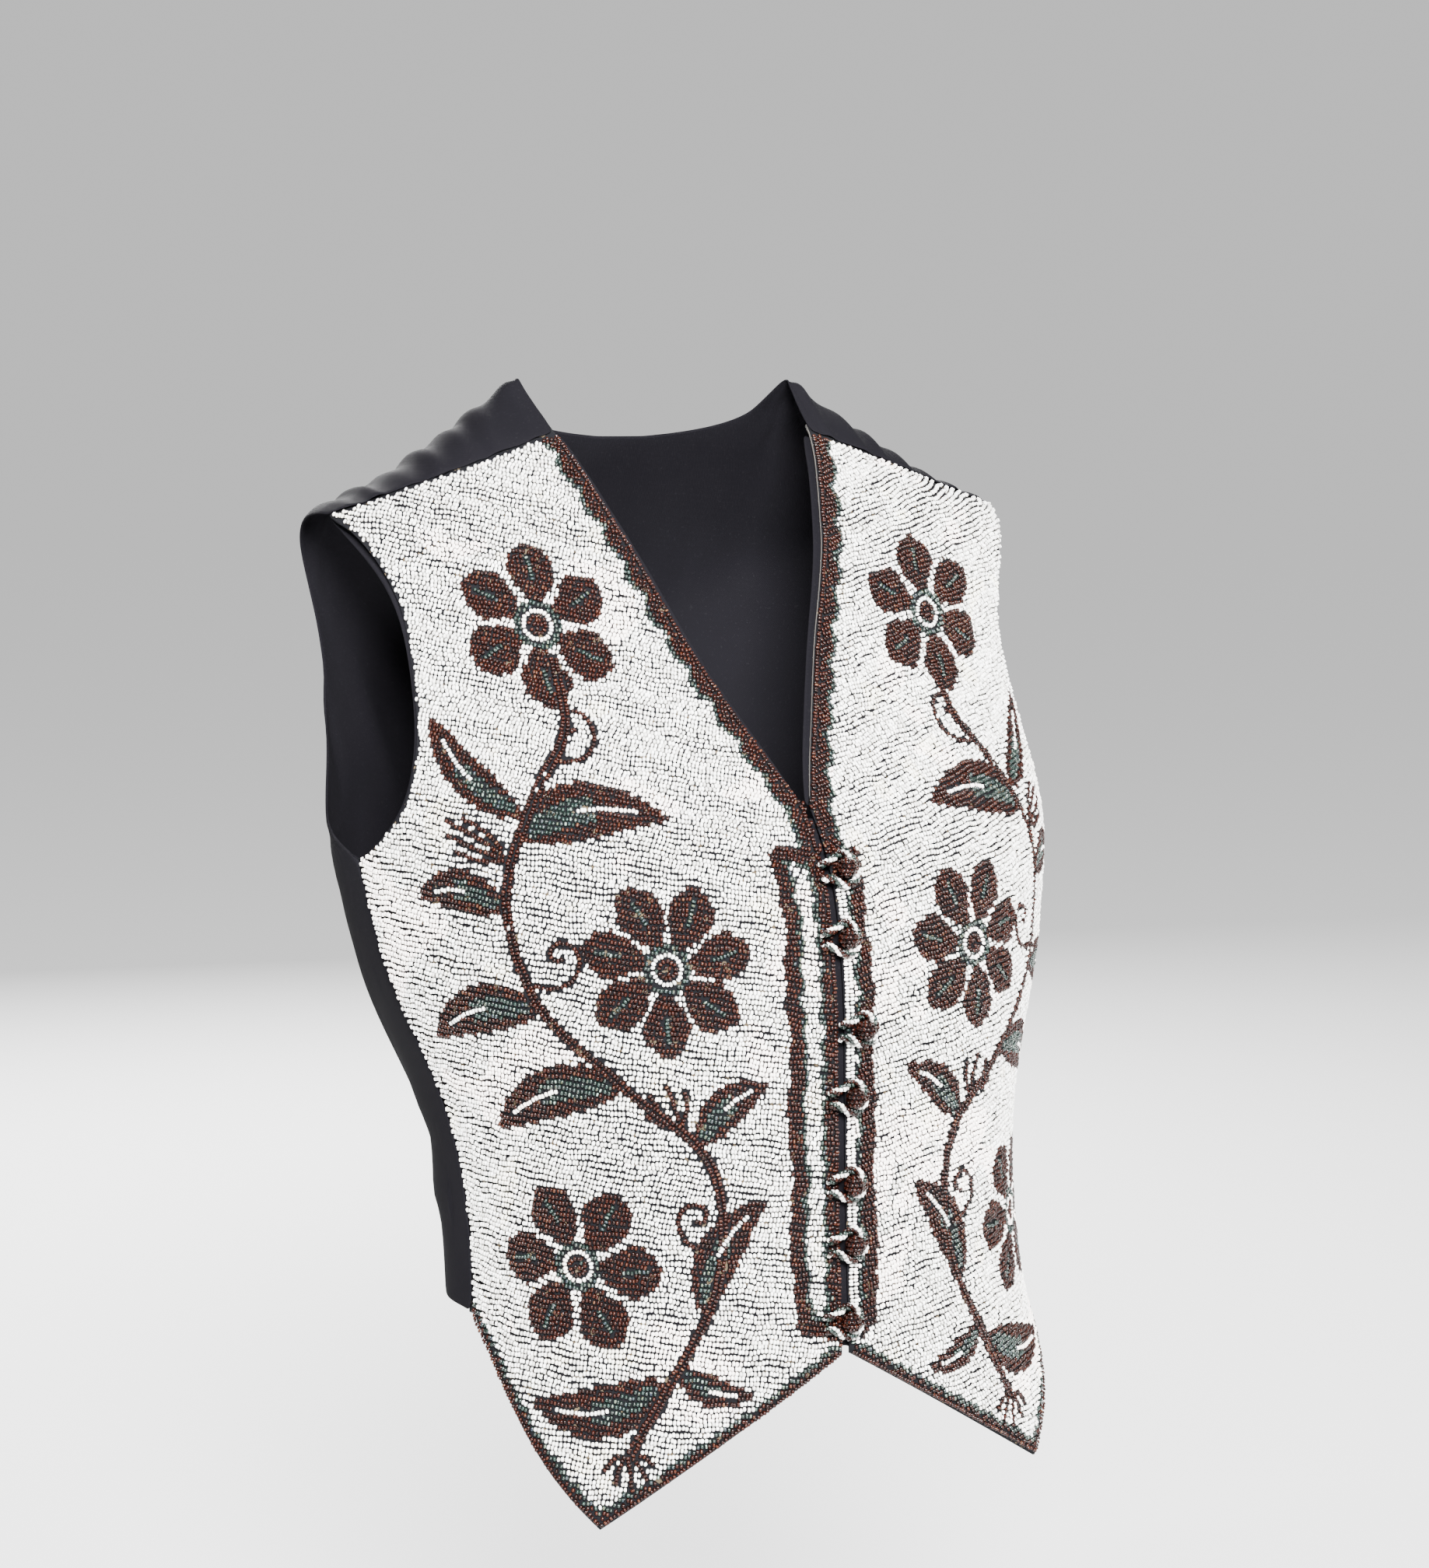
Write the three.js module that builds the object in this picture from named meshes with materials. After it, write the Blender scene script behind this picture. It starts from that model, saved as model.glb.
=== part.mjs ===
// A woman's sleeveless gilet, worn open-bodied: two bead-covered fronts that meet edge to edge and
// end in points, a plain cloth back that comes over the shoulders, thin facings, and seven ball
// buttons held by loops. Units are millimetres. +Z is up, the fronts face -Y, and +X is the
// wearer's left. The origin lies midway between the two points where neck and shoulder meet.
import * as THREE from 'three';

// Cloth: how far each piece's outer and inner face lie from the garment's outer surface.
const FRONT_WALL = { outer: 0, inner: -3.2 };
const BACK_WALL = { outer: -1.0, inner: -2.3 };
const FACING_WALL = { outer: -3.5, inner: -4.7 };
const SEAM_GAP = 0.34;

// The shape of a general figure in rings. Each ring is a superellipse with its own half width,
// and its own depth to the front and to the back of a centre that sways forward going down.
const RINGS = [
  { z: -550, halfWidth: 167, front: 117, back: 112 },
  { z: -490, halfWidth: 161, front: 95, back: 96 },
  { z: -410, halfWidth: 138.5, front: 105, back: 73 },
  { z: -330, halfWidth: 140, front: 112, back: 91 },
  { z: -250, halfWidth: 167, front: 106, back: 99 },
  { z: -205, halfWidth: 174, front: 110, back: 104 },
  { z: -160, halfWidth: 172.7, front: 94, back: 102 },
  { z: -115, halfWidth: 175, front: 75, back: 96 },
  { z: -95, halfWidth: 183, front: 69, back: 89 },
  { z: -75, halfWidth: 185, front: 62, back: 78 },
  { z: -60, halfWidth: 173, front: 54, back: 66 },
  { z: -49, halfWidth: 146, front: 49, back: 57 },
  { z: -35, halfWidth: 121, front: 42, back: 47 },
  { z: -24, halfWidth: 104, front: 34, back: 37 },
  { z: -13, halfWidth: 88, front: 22, back: 25 },
  { z: 0, halfWidth: 71, front: 8, back: 12 },
];
const RING_EXPONENT = 2.26;
const SWAY = { forward: 82, overHeight: 440, from: -10, limit: 1.4 };

// Fullness cut into the fronts: one soft rise for each side, bridged across the closing.
const FULLNESS = { out: 16.5, x: 80, z: -251, spread: 62, bridge: 15, bridgeWide: 45, bridgeTall: 60 };
const SIDE_FADE = 8;            // power of the cosine that ends the fullness at the side seams

// Outline of each front, the same on both sides.
const SIDE_SEAM_ANGLE = 6;      // degrees in front of the widest line
const SIDE_SEAM_HALF_GAP = 0.09; // degrees
const ARMHOLE_BOTTOM = -210;
const SIDE_BOTTOM = -407;
const V_BOTTOM = -185;
const CENTRE_BOTTOM = -421;
const HALF_OPENING = 1.9;       // the fronts meet edge to edge with this much air on each side
const HEM_POINT = { x: 111, z: -486.5 };
const NECK_CORNER = { x: 66, z: -25 };
const SHOULDER_CORNER = { x: 171, z: -60 };
const NECK_BOW = 3.5;           // how far the neckline bows towards the shoulder at mid length
const FRONT_ARMHOLE = [
  { z: -210, x: 173.2 },
  { z: -200, x: 169.5 },
  { z: -185, x: 162.5 },
  { z: -165, x: 156.3 },
  { z: -135, x: 152.2 },
  { z: -100, x: 154 },
  { z: -76, x: 162.6 },
  { z: -60, x: 171 },
];
const BACK_ARMHOLE = [
  { z: -210, x: 173.2 },
  { z: -202, x: 170.6 },
  { z: -190, x: 165.5 },
  { z: -165, x: 159.5 },
  { z: -135, x: 157.5 },
  { z: -100, x: 161 },
  { z: -76, x: 167.5 },
  { z: -60.5, x: 172.4 },
];

// Back neckline and shoulder straps.
const BACK_NECK = { centreZ: -26, cornerX: 62, cornerZ: -17, roundness: 2.2 };
const STRAP_FOOT = { armX: 166, armZ: -85 };
const RIDGE = { neckX: 70.8, armX: 172.5, lowest: -60, halvings: 40 };
const GATHERS = { count: 7, height: 1.6, atSeam: 0.4, rowsToRise: 3 };
const BACK_HEM_DIP = 6;

// Grid counts for the cloth.
const ROWS_BELOW_ARMHOLE = 8;
const FRONT_GRID = { toPoint: 11, pastPoint: 9, aboveArmhole: 9 };
const BACK_GRID = { perFold: 4, neckColumns: 10, aboveArmhole: 7, overShoulder: 8 };
const ARMHOLE_EASE = 1.5;       // crowds the rows into the round bottom of the armhole

// Trim.
const FACING_LEAST_X = 0.4;     // keeps the two neck facings apart at the bottom of the V
const NECK_FACING = { beyond: 3.2, fromRow: 8, toRow: 17 };
const ARMHOLE_FACING = { beyond: 1.6, fromRow: 9, toRow: 17 };
const UNDERLAP_ROWS = [0.08, 1, 2, 3, 4, 5, 6, 7, 7.9];
const BALL = { radius: 4.75, around: 10, up: 7 };
const ROPE = { radius: 1.95, sides: 7, steps: 22 };
// Each loop starts flat on the cloth, opens a little at its neck and turns round the ball.
const LOOP = { clear: 0.35, start: 11.5, mouth: 2.7, neckOut: 1.05, neckUp: 1.25, turn: 132, turnSteps: 6 };
const BUTTONS = [
  { x: 6, z: -213 },
  { x: 2, z: -241 },
  { x: 8.6, z: -280 },
  { x: 3.2, z: -309 },
  { x: 2, z: -347 },
  { x: 2, z: -373 },
  { x: -1, z: -406 },
];

const COLOURS = {
  ivoryBeads: { color: 0xe9e6dd, roughness: 0.4, metalness: 0 },
  blackCloth: { color: 0x211f29, roughness: 0.85, metalness: 0 },
  brownBeads: { color: 0x45201a, roughness: 0.2, metalness: 0 },
  stripedBeads: { color: 0x6b5a50, roughness: 0.3, metalness: 0 },
};

const radians = THREE.MathUtils.degToRad;
const degrees = THREE.MathUtils.radToDeg;
const mix = THREE.MathUtils.lerp;

// Smooth value of one column of a table at a height, by cubic pieces through the rows.
function smooth(rows, column, z) {
  const slope = (k) => (rows[k + 1][column] - rows[k][column]) / (rows[k + 1].z - rows[k].z);
  const last = rows.length - 1;
  let i = 0;
  while (i < last - 1 && z > rows[i + 1].z) i += 1;
  const height = rows[i + 1].z - rows[i].z;
  const tangent = (k) => {
    if (k === 0) return slope(0);
    if (k === last) return slope(last - 1);
    const before = rows[k].z - rows[k - 1].z;
    const after = rows[k + 1].z - rows[k].z;
    return (slope(k) * before + slope(k - 1) * after) / (before + after);
  };
  const t = (z - rows[i].z) / height;
  const t2 = t * t;
  const t3 = t2 * t;
  return (2 * t3 - 3 * t2 + 1) * rows[i][column] + (t3 - 2 * t2 + t) * height * tangent(i)
    + (3 * t2 - 2 * t3) * rows[i + 1][column] + (t3 - t2) * height * tangent(i + 1);
}

const halfWidthAt = (z) => smooth(RINGS, 'halfWidth', z);

function centreAt(z) {
  const down = THREE.MathUtils.clamp((SWAY.from - z) / SWAY.overHeight, 0, SWAY.limit);
  return -SWAY.forward * down;
}

function fullnessAt(x, z) {
  const side = (s) => Math.exp(-(((x - s * FULLNESS.x) / FULLNESS.spread) ** 2)
    - ((z - FULLNESS.z) / FULLNESS.spread) ** 2);
  const bridge = Math.exp(-((x / FULLNESS.bridgeWide) ** 2)
    - ((z - FULLNESS.z) / FULLNESS.bridgeTall) ** 2);
  return FULLNESS.out * (side(1) + side(-1)) + FULLNESS.bridge * bridge;
}

// A point of the outer surface. The angle starts at the wearer's left and turns over the front.
function figure(angle, z) {
  const c = Math.cos(radians(angle));
  const s = Math.sin(radians(angle));
  const power = 2 / RING_EXPONENT;
  const x = halfWidthAt(z) * Math.sign(c) * Math.abs(c) ** power;
  const depth = Math.abs(s) ** power;
  if (s < 0) return new THREE.Vector3(x, centreAt(z) + smooth(RINGS, 'back', z) * depth, z);
  const y = centreAt(z) - smooth(RINGS, 'front', z) * depth - fullnessAt(x, z) * (1 - c ** SIDE_FADE);
  return new THREE.Vector3(x, y, z);
}

// The angle, between 0 and 90 degrees from the side, at which a ring reaches a given x.
function angleFromSide(x, z) {
  const part = Math.min(Math.abs(x) / halfWidthAt(z), 1);
  return degrees(Math.acos(part ** (RING_EXPONENT / 2)));
}

const FRONT_SIDE_ANGLE = SIDE_SEAM_ANGLE + SIDE_SEAM_HALF_GAP;
const BACK_SIDE_ANGLE = SIDE_SEAM_ANGLE - SIDE_SEAM_HALF_GAP;
const atPlace = (x, z) => ({ angle: angleFromSide(x, z), z });

// The four edges of the wearer's left front, as angles and heights. t runs from 0 to 1 along each.
const FRONT_EDGES = {
  hemToPoint: (t) => atPlace(
    mix(HALF_OPENING, HEM_POINT.x, t),
    mix(CENTRE_BOTTOM, HEM_POINT.z, t),
  ),
  hemPastPoint: (t) => ({
    angle: mix(angleFromSide(HEM_POINT.x, HEM_POINT.z), FRONT_SIDE_ANGLE, t),
    z: mix(HEM_POINT.z, SIDE_BOTTOM, t),
  }),
  shoulder: (t) => atPlace(
    mix(NECK_CORNER.x, SHOULDER_CORNER.x, t),
    mix(NECK_CORNER.z, SHOULDER_CORNER.z, t),
  ),
  closing: (t) => atPlace(HALF_OPENING, mix(CENTRE_BOTTOM, V_BOTTOM, t)),
  neckline: (t) => atPlace(
    mix(HALF_OPENING, NECK_CORNER.x, t) + NECK_BOW * Math.sin(Math.PI * t),
    mix(V_BOTTOM, NECK_CORNER.z, t),
  ),
  sideSeam: (t) => ({ angle: FRONT_SIDE_ANGLE, z: mix(SIDE_BOTTOM, ARMHOLE_BOTTOM, t) }),
  armhole: (t) => {
    const z = mix(ARMHOLE_BOTTOM, SHOULDER_CORNER.z, t ** ARMHOLE_EASE);
    return t > 0 ? atPlace(smooth(FRONT_ARMHOLE, 'x', z), z) : { angle: FRONT_SIDE_ANGLE, z };
  },
};

// Two edges in a row, with a whole number of steps on each.
function joined(first, firstSteps, second, secondSteps) {
  const edge = [];
  for (let k = 0; k < firstSteps; k += 1) edge.push(first(k / firstSteps));
  for (let k = 0; k <= secondSteps; k += 1) edge.push(second(k / secondSteps));
  return edge;
}

// Fills the space between four edges: each inner place is blended from the edges around it.
function blended(bottom, top, near, far) {
  const columns = bottom.length - 1;
  const rows = near.length - 1;
  return near.map((_, j) => bottom.map((__, i) => {
    const u = i / columns;
    const v = j / rows;
    const value = (key) => mix(bottom[i][key], top[i][key], v) + mix(near[j][key], far[j][key], u)
      - mix(mix(bottom[0][key], bottom[columns][key], u), mix(top[0][key], top[columns][key], u), v);
    return { angle: value('angle'), z: value('z') };
  }));
}

function steps(edge, count) {
  return Array.from({ length: count + 1 }, (_, k) => edge(k / count));
}

// side is 1 for the wearer's left and -1 for the wearer's right.
const onSide = (side, { angle, z }) => figure(side > 0 ? angle : 180 - angle, z);

function frontPlaces() {
  const { toPoint, pastPoint, aboveArmhole } = FRONT_GRID;
  const { hemToPoint, hemPastPoint, shoulder, closing, neckline, sideSeam, armhole } = FRONT_EDGES;
  return blended(
    joined(hemToPoint, toPoint, hemPastPoint, pastPoint),
    steps(shoulder, toPoint + pastPoint),
    joined(closing, ROWS_BELOW_ARMHOLE, neckline, aboveArmhole),
    joined(sideSeam, ROWS_BELOW_ARMHOLE, armhole, aboveArmhole),
  );
}

// A grid of points becomes a flat list of points and a list of four-sided cells.
function sheetOf(grid) {
  const columns = grid[0].length;
  const cells = [];
  for (let j = 0; j + 1 < grid.length; j += 1) {
    for (let i = 0; i + 1 < columns; i += 1) {
      const a = j * columns + i;
      cells.push([a, a + 1, a + columns + 1, a + columns]);
    }
  }
  return { points: grid.flat(), cells };
}

function cellNormal(points, [a, b, c, d]) {
  return points[c].clone().sub(points[a]).cross(points[d].clone().sub(points[b]));
}

// Turns the cells over where they face the body instead of outward.
function facingOut({ points, cells }) {
  const outward = cells.reduce((sum, cell) => {
    const p = points[cell[0]];
    return sum + cellNormal(points, cell).dot(new THREE.Vector3(p.x, p.y - centreAt(p.z), 0));
  }, 0);
  return outward > 0 ? cells : cells.map((cell) => [...cell].reverse());
}

function withNormals(sheet) {
  const cells = facingOut(sheet);
  const normals = sheet.points.map(() => new THREE.Vector3());
  for (const cell of cells) {
    const normal = cellNormal(sheet.points, cell);
    for (const k of cell) normals[k].add(normal);
  }
  normals.forEach((normal) => normal.normalize());
  return { points: sheet.points, cells, normals };
}

// One closed solid from a sheet: its faces are the sheet moved along its own normals to the outer
// and the inner side, and its open edges are closed by narrow walls. A lift moves both faces out.
function thicken({ points, cells, normals }, wall, lift = () => 0) {
  const moved = (distance) => points.map(
    (p, k) => p.clone().addScaledVector(normals[k], distance + lift(k)),
  );
  const index = [];
  const quad = (a, b, c, d) => index.push(a, b, c, a, c, d);
  const count = points.length;
  const open = new Map();
  for (const [a, b, c, d] of cells) {
    // Each cell folds along its shorter diagonal, so that neighbours made from it fit it.
    if (points[a].distanceTo(points[c]) < points[b].distanceTo(points[d])) {
      quad(a, b, c, d);
      quad(count + c, count + b, count + a, count + d);
    } else {
      quad(b, c, d, a);
      quad(count + d, count + c, count + b, count + a);
    }
    for (const [from, to] of [[a, b], [b, c], [c, d], [d, a]]) {
      if (!open.delete(`${to} ${from}`)) open.set(`${from} ${to}`, [from, to]);
    }
  }
  for (const [from, to] of open.values()) quad(to, from, count + from, count + to);
  const geometry = new THREE.BufferGeometry();
  geometry.setFromPoints([...moved(wall.outer), ...moved(wall.inner)]);
  geometry.setIndex(index);
  geometry.computeVertexNormals();
  return geometry;
}

function frontSheet(side) {
  const grid = frontPlaces().map((line) => line.map((place) => onSide(side, place)));
  return { ...withNormals(sheetOf(grid)), columns: grid[0].length, rows: grid.length };
}

function front(side) {
  return thicken(frontSheet(side), FRONT_WALL);
}

// A front's own point and normal, at a whole column and between two rows.
function frontPoint({ points, normals, columns }, column, row) {
  const low = Math.floor(row);
  const high = Math.min(low + 1, Math.ceil(row));
  const [a, b] = [low * columns + column, high * columns + column];
  return {
    point: points[a].clone().lerp(points[b], row - low),
    normal: normals[a].clone().lerp(normals[b], row - low),
  };
}

// A sheet from rows of places that already know their normals.
function sheetOfPlaces(grid) {
  const { cells } = sheetOf(grid);
  const points = grid.flat().map(({ point }) => point);
  const normals = grid.flat().map(({ normal }) => normal);
  return { points, cells: facingOut({ points, cells }), normals };
}

// A facing lies under a front's outermost columns, and shows where it reaches beyond their edge.
function facing(side, edgeColumn, nextColumn, { beyond, fromRow, toRow }) {
  const sheet = frontSheet(side);
  const grid = [];
  for (let row = fromRow; row <= toRow; row += 1) {
    const edge = frontPoint(sheet, edgeColumn, row);
    const inner = frontPoint(sheet, nextColumn, row);
    const free = Math.min(beyond, Math.abs(edge.point.x) - FACING_LEAST_X);
    const outward = edge.point.clone().sub(inner.point).normalize();
    const outer = { point: edge.point.clone().addScaledVector(outward, free), normal: edge.normal };
    grid.push([outer, edge, inner]);
  }
  return thicken(sheetOfPlaces(grid), FACING_WALL);
}

function neckFacing(side) {
  return facing(side, 0, 1, NECK_FACING);
}

function armholeFacing(side) {
  const last = FRONT_GRID.toPoint + FRONT_GRID.pastPoint;
  return facing(side, last, last - 1, ARMHOLE_FACING);
}

// The strip behind the closing lies under the first columns of both fronts.
function underlap() {
  const [right, left] = [frontSheet(-1), frontSheet(1)];
  const grid = UNDERLAP_ROWS.map((row) => [
    frontPoint(right, 1, row),
    frontPoint(right, 0, row),
    frontPoint(left, 0, row),
    frontPoint(left, 1, row),
  ]);
  return thicken(sheetOfPlaces(grid), FACING_WALL);
}

// Height of the shoulder ridge above a given x, found by halving.
function ridgeHeight(x) {
  let low = RIDGE.lowest;
  let high = 0;
  for (let k = 0; k < RIDGE.halvings; k += 1) {
    const middle = (low + high) / 2;
    if (halfWidthAt(middle) > x) low = middle;
    else high = middle;
  }
  return low;
}

// The row in which the back ends at the neck and from which the shoulder parts go on.
function backTop(x) {
  const out = Math.abs(x);
  const { centreZ, cornerX, cornerZ, roundness } = BACK_NECK;
  if (out < cornerX) return mix(centreZ, cornerZ, (out / cornerX) ** roundness);
  return mix(cornerZ, STRAP_FOOT.armZ, (out - cornerX) / (STRAP_FOOT.armX - cornerX));
}

// A place on the back: like a front's, but turning the other way from the side.
const onBack = (side, x, z) => figure(side > 0 ? -angleFromSide(x, z) : 180 + angleFromSide(x, z), z);

// Rows of the back: even steps round the rings up to the armholes, and from there on a slow change
// to even steps across, which is how the shoulder parts with their gathers start.
function backPlaces() {
  const { perFold, neckColumns, aboveArmhole } = BACK_GRID;
  const strapColumns = GATHERS.count * perFold;
  const { armX, armZ } = STRAP_FOOT;
  const { cornerX } = BACK_NECK;
  const topX = [
    ...steps((t) => mix(armX, cornerX, t), strapColumns).slice(0, -1),
    ...steps((t) => mix(cornerX, -cornerX, t), neckColumns).slice(0, -1),
    ...steps((t) => mix(-cornerX, -armX, t), strapColumns),
  ];
  const columns = topX.length - 1;
  const evenly = (edgeAngle, i) => mix(edgeAngle, -180 - edgeAngle, i / columns);
  const grid = steps((t) => topX.map((_, i) => {
    const hem = SIDE_BOTTOM - BACK_HEM_DIP * Math.sin((Math.PI * i) / columns) ** 2;
    return { angle: evenly(BACK_SIDE_ANGLE, i), z: mix(hem, ARMHOLE_BOTTOM, t) };
  }), ROWS_BELOW_ARMHOLE);
  for (let row = 1; row <= aboveArmhole; row += 1) {
    const risen = (row / aboveArmhole) ** ARMHOLE_EASE;
    const edgeZ = mix(ARMHOLE_BOTTOM, armZ, risen);
    const edgeX = smooth(BACK_ARMHOLE, 'x', edgeZ);
    grid.push(topX.map((x, i) => {
      const z = mix(ARMHOLE_BOTTOM, backTop(x), risen);
      const fromSide = angleFromSide((x * edgeX) / armX, z);
      const across = x > 0 ? -fromSide : -180 + fromSide;
      return { angle: mix(evenly(-angleFromSide(edgeX, edgeZ), i), across, risen), z };
    }));
  }
  return { grid, columns, strapColumns };
}

// The front's shoulder edge as the straight stretches that its grid gives it.
function shoulderEdge({ points, normals, columns, rows }, t) {
  const k = Math.min(Math.floor(t * (columns - 1)), columns - 2);
  const first = (rows - 1) * columns + k;
  const part = t * (columns - 1) - k;
  return {
    point: points[first].clone().lerp(points[first + 1], part),
    normal: normals[first].clone().lerp(normals[first + 1], part).normalize(),
  };
}

// A point of a shoulder part: across runs from neck to armhole, over from the back to the seam.
function shoulderPoint(side, across, over) {
  const ridgeX = mix(RIDGE.neckX, RIDGE.armX, across);
  const ridgeZ = ridgeHeight(ridgeX);
  const part = over * over;
  if (over < 0) {
    const footX = mix(BACK_NECK.cornerX, STRAP_FOOT.armX, across);
    return onBack(side, mix(ridgeX, footX, part), mix(ridgeZ, backTop(footX), part));
  }
  const seamX = mix(NECK_CORNER.x, SHOULDER_CORNER.x, across);
  const seamZ = mix(NECK_CORNER.z, SHOULDER_CORNER.z, across);
  return onSide(side, atPlace(mix(ridgeX, seamX, part), mix(ridgeZ, seamZ, part)));
}

function back() {
  const { grid, columns, strapColumns } = backPlaces();
  const body = grid.map((line) => line.map(({ angle, z }) => figure(angle, z)));
  const { points, cells } = sheetOf(body);
  const lifts = points.map(() => 0);
  const topRow = (body.length - 1) * (columns + 1);
  const { overShoulder } = BACK_GRID;
  const seamNormals = new Map();
  for (const side of [1, -1]) {
    const sheet = frontSheet(side);
    let below = Array.from({ length: strapColumns + 1 }, (_, i) => topRow + (side > 0 ? i : columns - i));
    for (let j = 1; j <= overShoulder; j += 1) {
      const over = mix(-1, 1, j / overShoulder);
      const row = below.map((_, i) => {
        const across = 1 - i / strapColumns;
        const point = shoulderPoint(side, across, over);
        if (j === overShoulder) {
          const seam = shoulderEdge(sheet, across);
          const before = shoulderPoint(side, across, mix(-1, 1, (j - 1) / overShoulder));
          const away = before.sub(seam.point).projectOnPlane(seam.normal).normalize();
          point.copy(seam.point).addScaledVector(away, SEAM_GAP);
          seamNormals.set(points.length, seam.normal);
        }
        const fold = 0.5 - 0.5 * Math.cos(2 * Math.PI * GATHERS.count * across);
        const rise = Math.sin(0.5 * Math.PI * Math.min(1, j / GATHERS.rowsToRise));
        const fall = mix(1, GATHERS.atSeam, Math.max(0, over));
        points.push(point);
        lifts.push(GATHERS.height * fold * rise * fall);
        return points.length - 1;
      });
      for (let i = 0; i < strapColumns; i += 1) {
        const cell = [below[i], below[i + 1], row[i + 1], row[i]];
        cells.push(side > 0 ? cell : cell.reverse());
      }
      below = row;
    }
  }
  const whole = withNormals({ points, cells });
  const normals = whole.normals.map((normal, k) => seamNormals.get(k) ?? normal);
  return thicken({ ...whole, normals }, BACK_WALL, (k) => lifts[k]);
}

// Outward direction of the closing at a height.
function closingNormal(z) {
  const rise = figure(90, z + 1).sub(figure(90, z - 1));
  return new THREE.Vector3(1, 0, 0).cross(rise).normalize();
}

// A point near a button: x across, v up along the closing, out away from the cloth.
function atClosing(x, z, out) {
  const side = x < 0 ? -1 : 1;
  return onSide(side, atPlace(x, z)).addScaledVector(closingNormal(z), out);
}

function ball({ x, z }) {
  const geometry = new THREE.SphereGeometry(BALL.radius, BALL.around, BALL.up);
  const place = atClosing(x, z, BALL.radius + LOOP.clear);
  return geometry.translate(place.x, place.y, place.z);
}

// A rope loop that starts on the right front, passes round the ball and comes back.
function loop({ x, z }) {
  const { clear, start, mouth, neckOut, neckUp, turn, turnSteps } = LOOP;
  const height = ROPE.radius + clear;
  const below = BALL.radius + clear - height;
  const reach = Math.sqrt((BALL.radius + ROPE.radius + clear) ** 2 - below ** 2);
  const path = [[-start, mouth], [-reach * neckOut, mouth * neckUp]];
  for (let k = 0; k <= turnSteps; k += 1) {
    const angle = radians(mix(turn, -turn, k / turnSteps));
    path.push([reach * Math.cos(angle), reach * Math.sin(angle)]);
  }
  path.push([-reach * neckOut, -mouth * neckUp], [-start, -mouth]);
  const curve = new THREE.CatmullRomCurve3(
    path.map(([across, up]) => atClosing(x + across, z + up, height)),
    false,
    'centripetal',
  );
  const section = new THREE.Shape(Array.from({ length: ROPE.sides }, (_, k) => {
    const angle = (2 * Math.PI * k) / ROPE.sides;
    return new THREE.Vector2(ROPE.radius * Math.cos(angle), ROPE.radius * Math.sin(angle));
  }));
  return new THREE.ExtrudeGeometry(section, { extrudePath: curve, steps: ROPE.steps, bevelEnabled: false });
}

function piece(name, geometry, finish) {
  const mesh = new THREE.Mesh(geometry, new THREE.MeshStandardMaterial(COLOURS[finish]));
  mesh.name = name;
  return mesh;
}

function buildGilet() {
  const gilet = new THREE.Group();
  for (const [name, side] of [['right', -1], ['left', 1]]) {
    gilet.add(piece(`${name}_front`, front(side), 'ivoryBeads'));
    gilet.add(piece(`${name}_neck_facing`, neckFacing(side), 'blackCloth'));
    gilet.add(piece(`${name}_armhole_facing`, armholeFacing(side), 'blackCloth'));
  }
  gilet.add(piece('back', back(), 'blackCloth'));
  gilet.add(piece('underlap', underlap(), 'blackCloth'));
  BUTTONS.forEach((place, k) => {
    gilet.add(piece(`button_${k + 1}`, ball(place), 'brownBeads'));
    gilet.add(piece(`loop_${k + 1}`, loop(place), 'stripedBeads'));
  });
  return gilet;
}

export default buildGilet();
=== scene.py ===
# %% [markdown]
# # A gilet covered in beads
# The real garment is a cloth waistcoat whose two fronts are hidden under nearly forty thousand small
# glass beads. Each bead is sewn on by hand, so the light catches every one of them. This lesson
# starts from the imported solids, which fix the size and the form, and dresses them: thin cloth for
# the panels, and real little barrels of glass for the beads. Everything here is in metres.

# %% Load the frame
import math

import bmesh
import bpy
import numpy as np
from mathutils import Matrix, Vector


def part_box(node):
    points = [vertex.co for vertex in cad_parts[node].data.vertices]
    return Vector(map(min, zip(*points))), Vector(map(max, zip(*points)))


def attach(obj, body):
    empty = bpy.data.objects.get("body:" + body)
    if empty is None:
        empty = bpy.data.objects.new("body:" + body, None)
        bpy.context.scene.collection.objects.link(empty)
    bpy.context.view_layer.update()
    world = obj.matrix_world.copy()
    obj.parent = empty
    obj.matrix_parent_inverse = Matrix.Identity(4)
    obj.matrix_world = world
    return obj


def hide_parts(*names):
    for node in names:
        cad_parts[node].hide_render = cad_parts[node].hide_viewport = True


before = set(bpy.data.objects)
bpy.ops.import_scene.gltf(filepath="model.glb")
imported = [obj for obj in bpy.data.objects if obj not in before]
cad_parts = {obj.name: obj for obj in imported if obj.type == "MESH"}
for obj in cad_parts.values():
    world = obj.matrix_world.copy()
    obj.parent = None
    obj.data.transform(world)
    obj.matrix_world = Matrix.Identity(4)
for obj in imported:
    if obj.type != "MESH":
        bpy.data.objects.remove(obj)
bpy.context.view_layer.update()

# %% [markdown]
# ## The form under the beads
# A tailor's figure can be written as a stack of rings. Each ring is a rounded oval, called a
# superellipse, with its own half width and its own depth to the front and to the back. The table
# holds a ring at each level where the figure changes, and a smooth curve joins them. These are the
# same rings that the solids were made from, so whatever is placed on them lies on the solids too.

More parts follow.
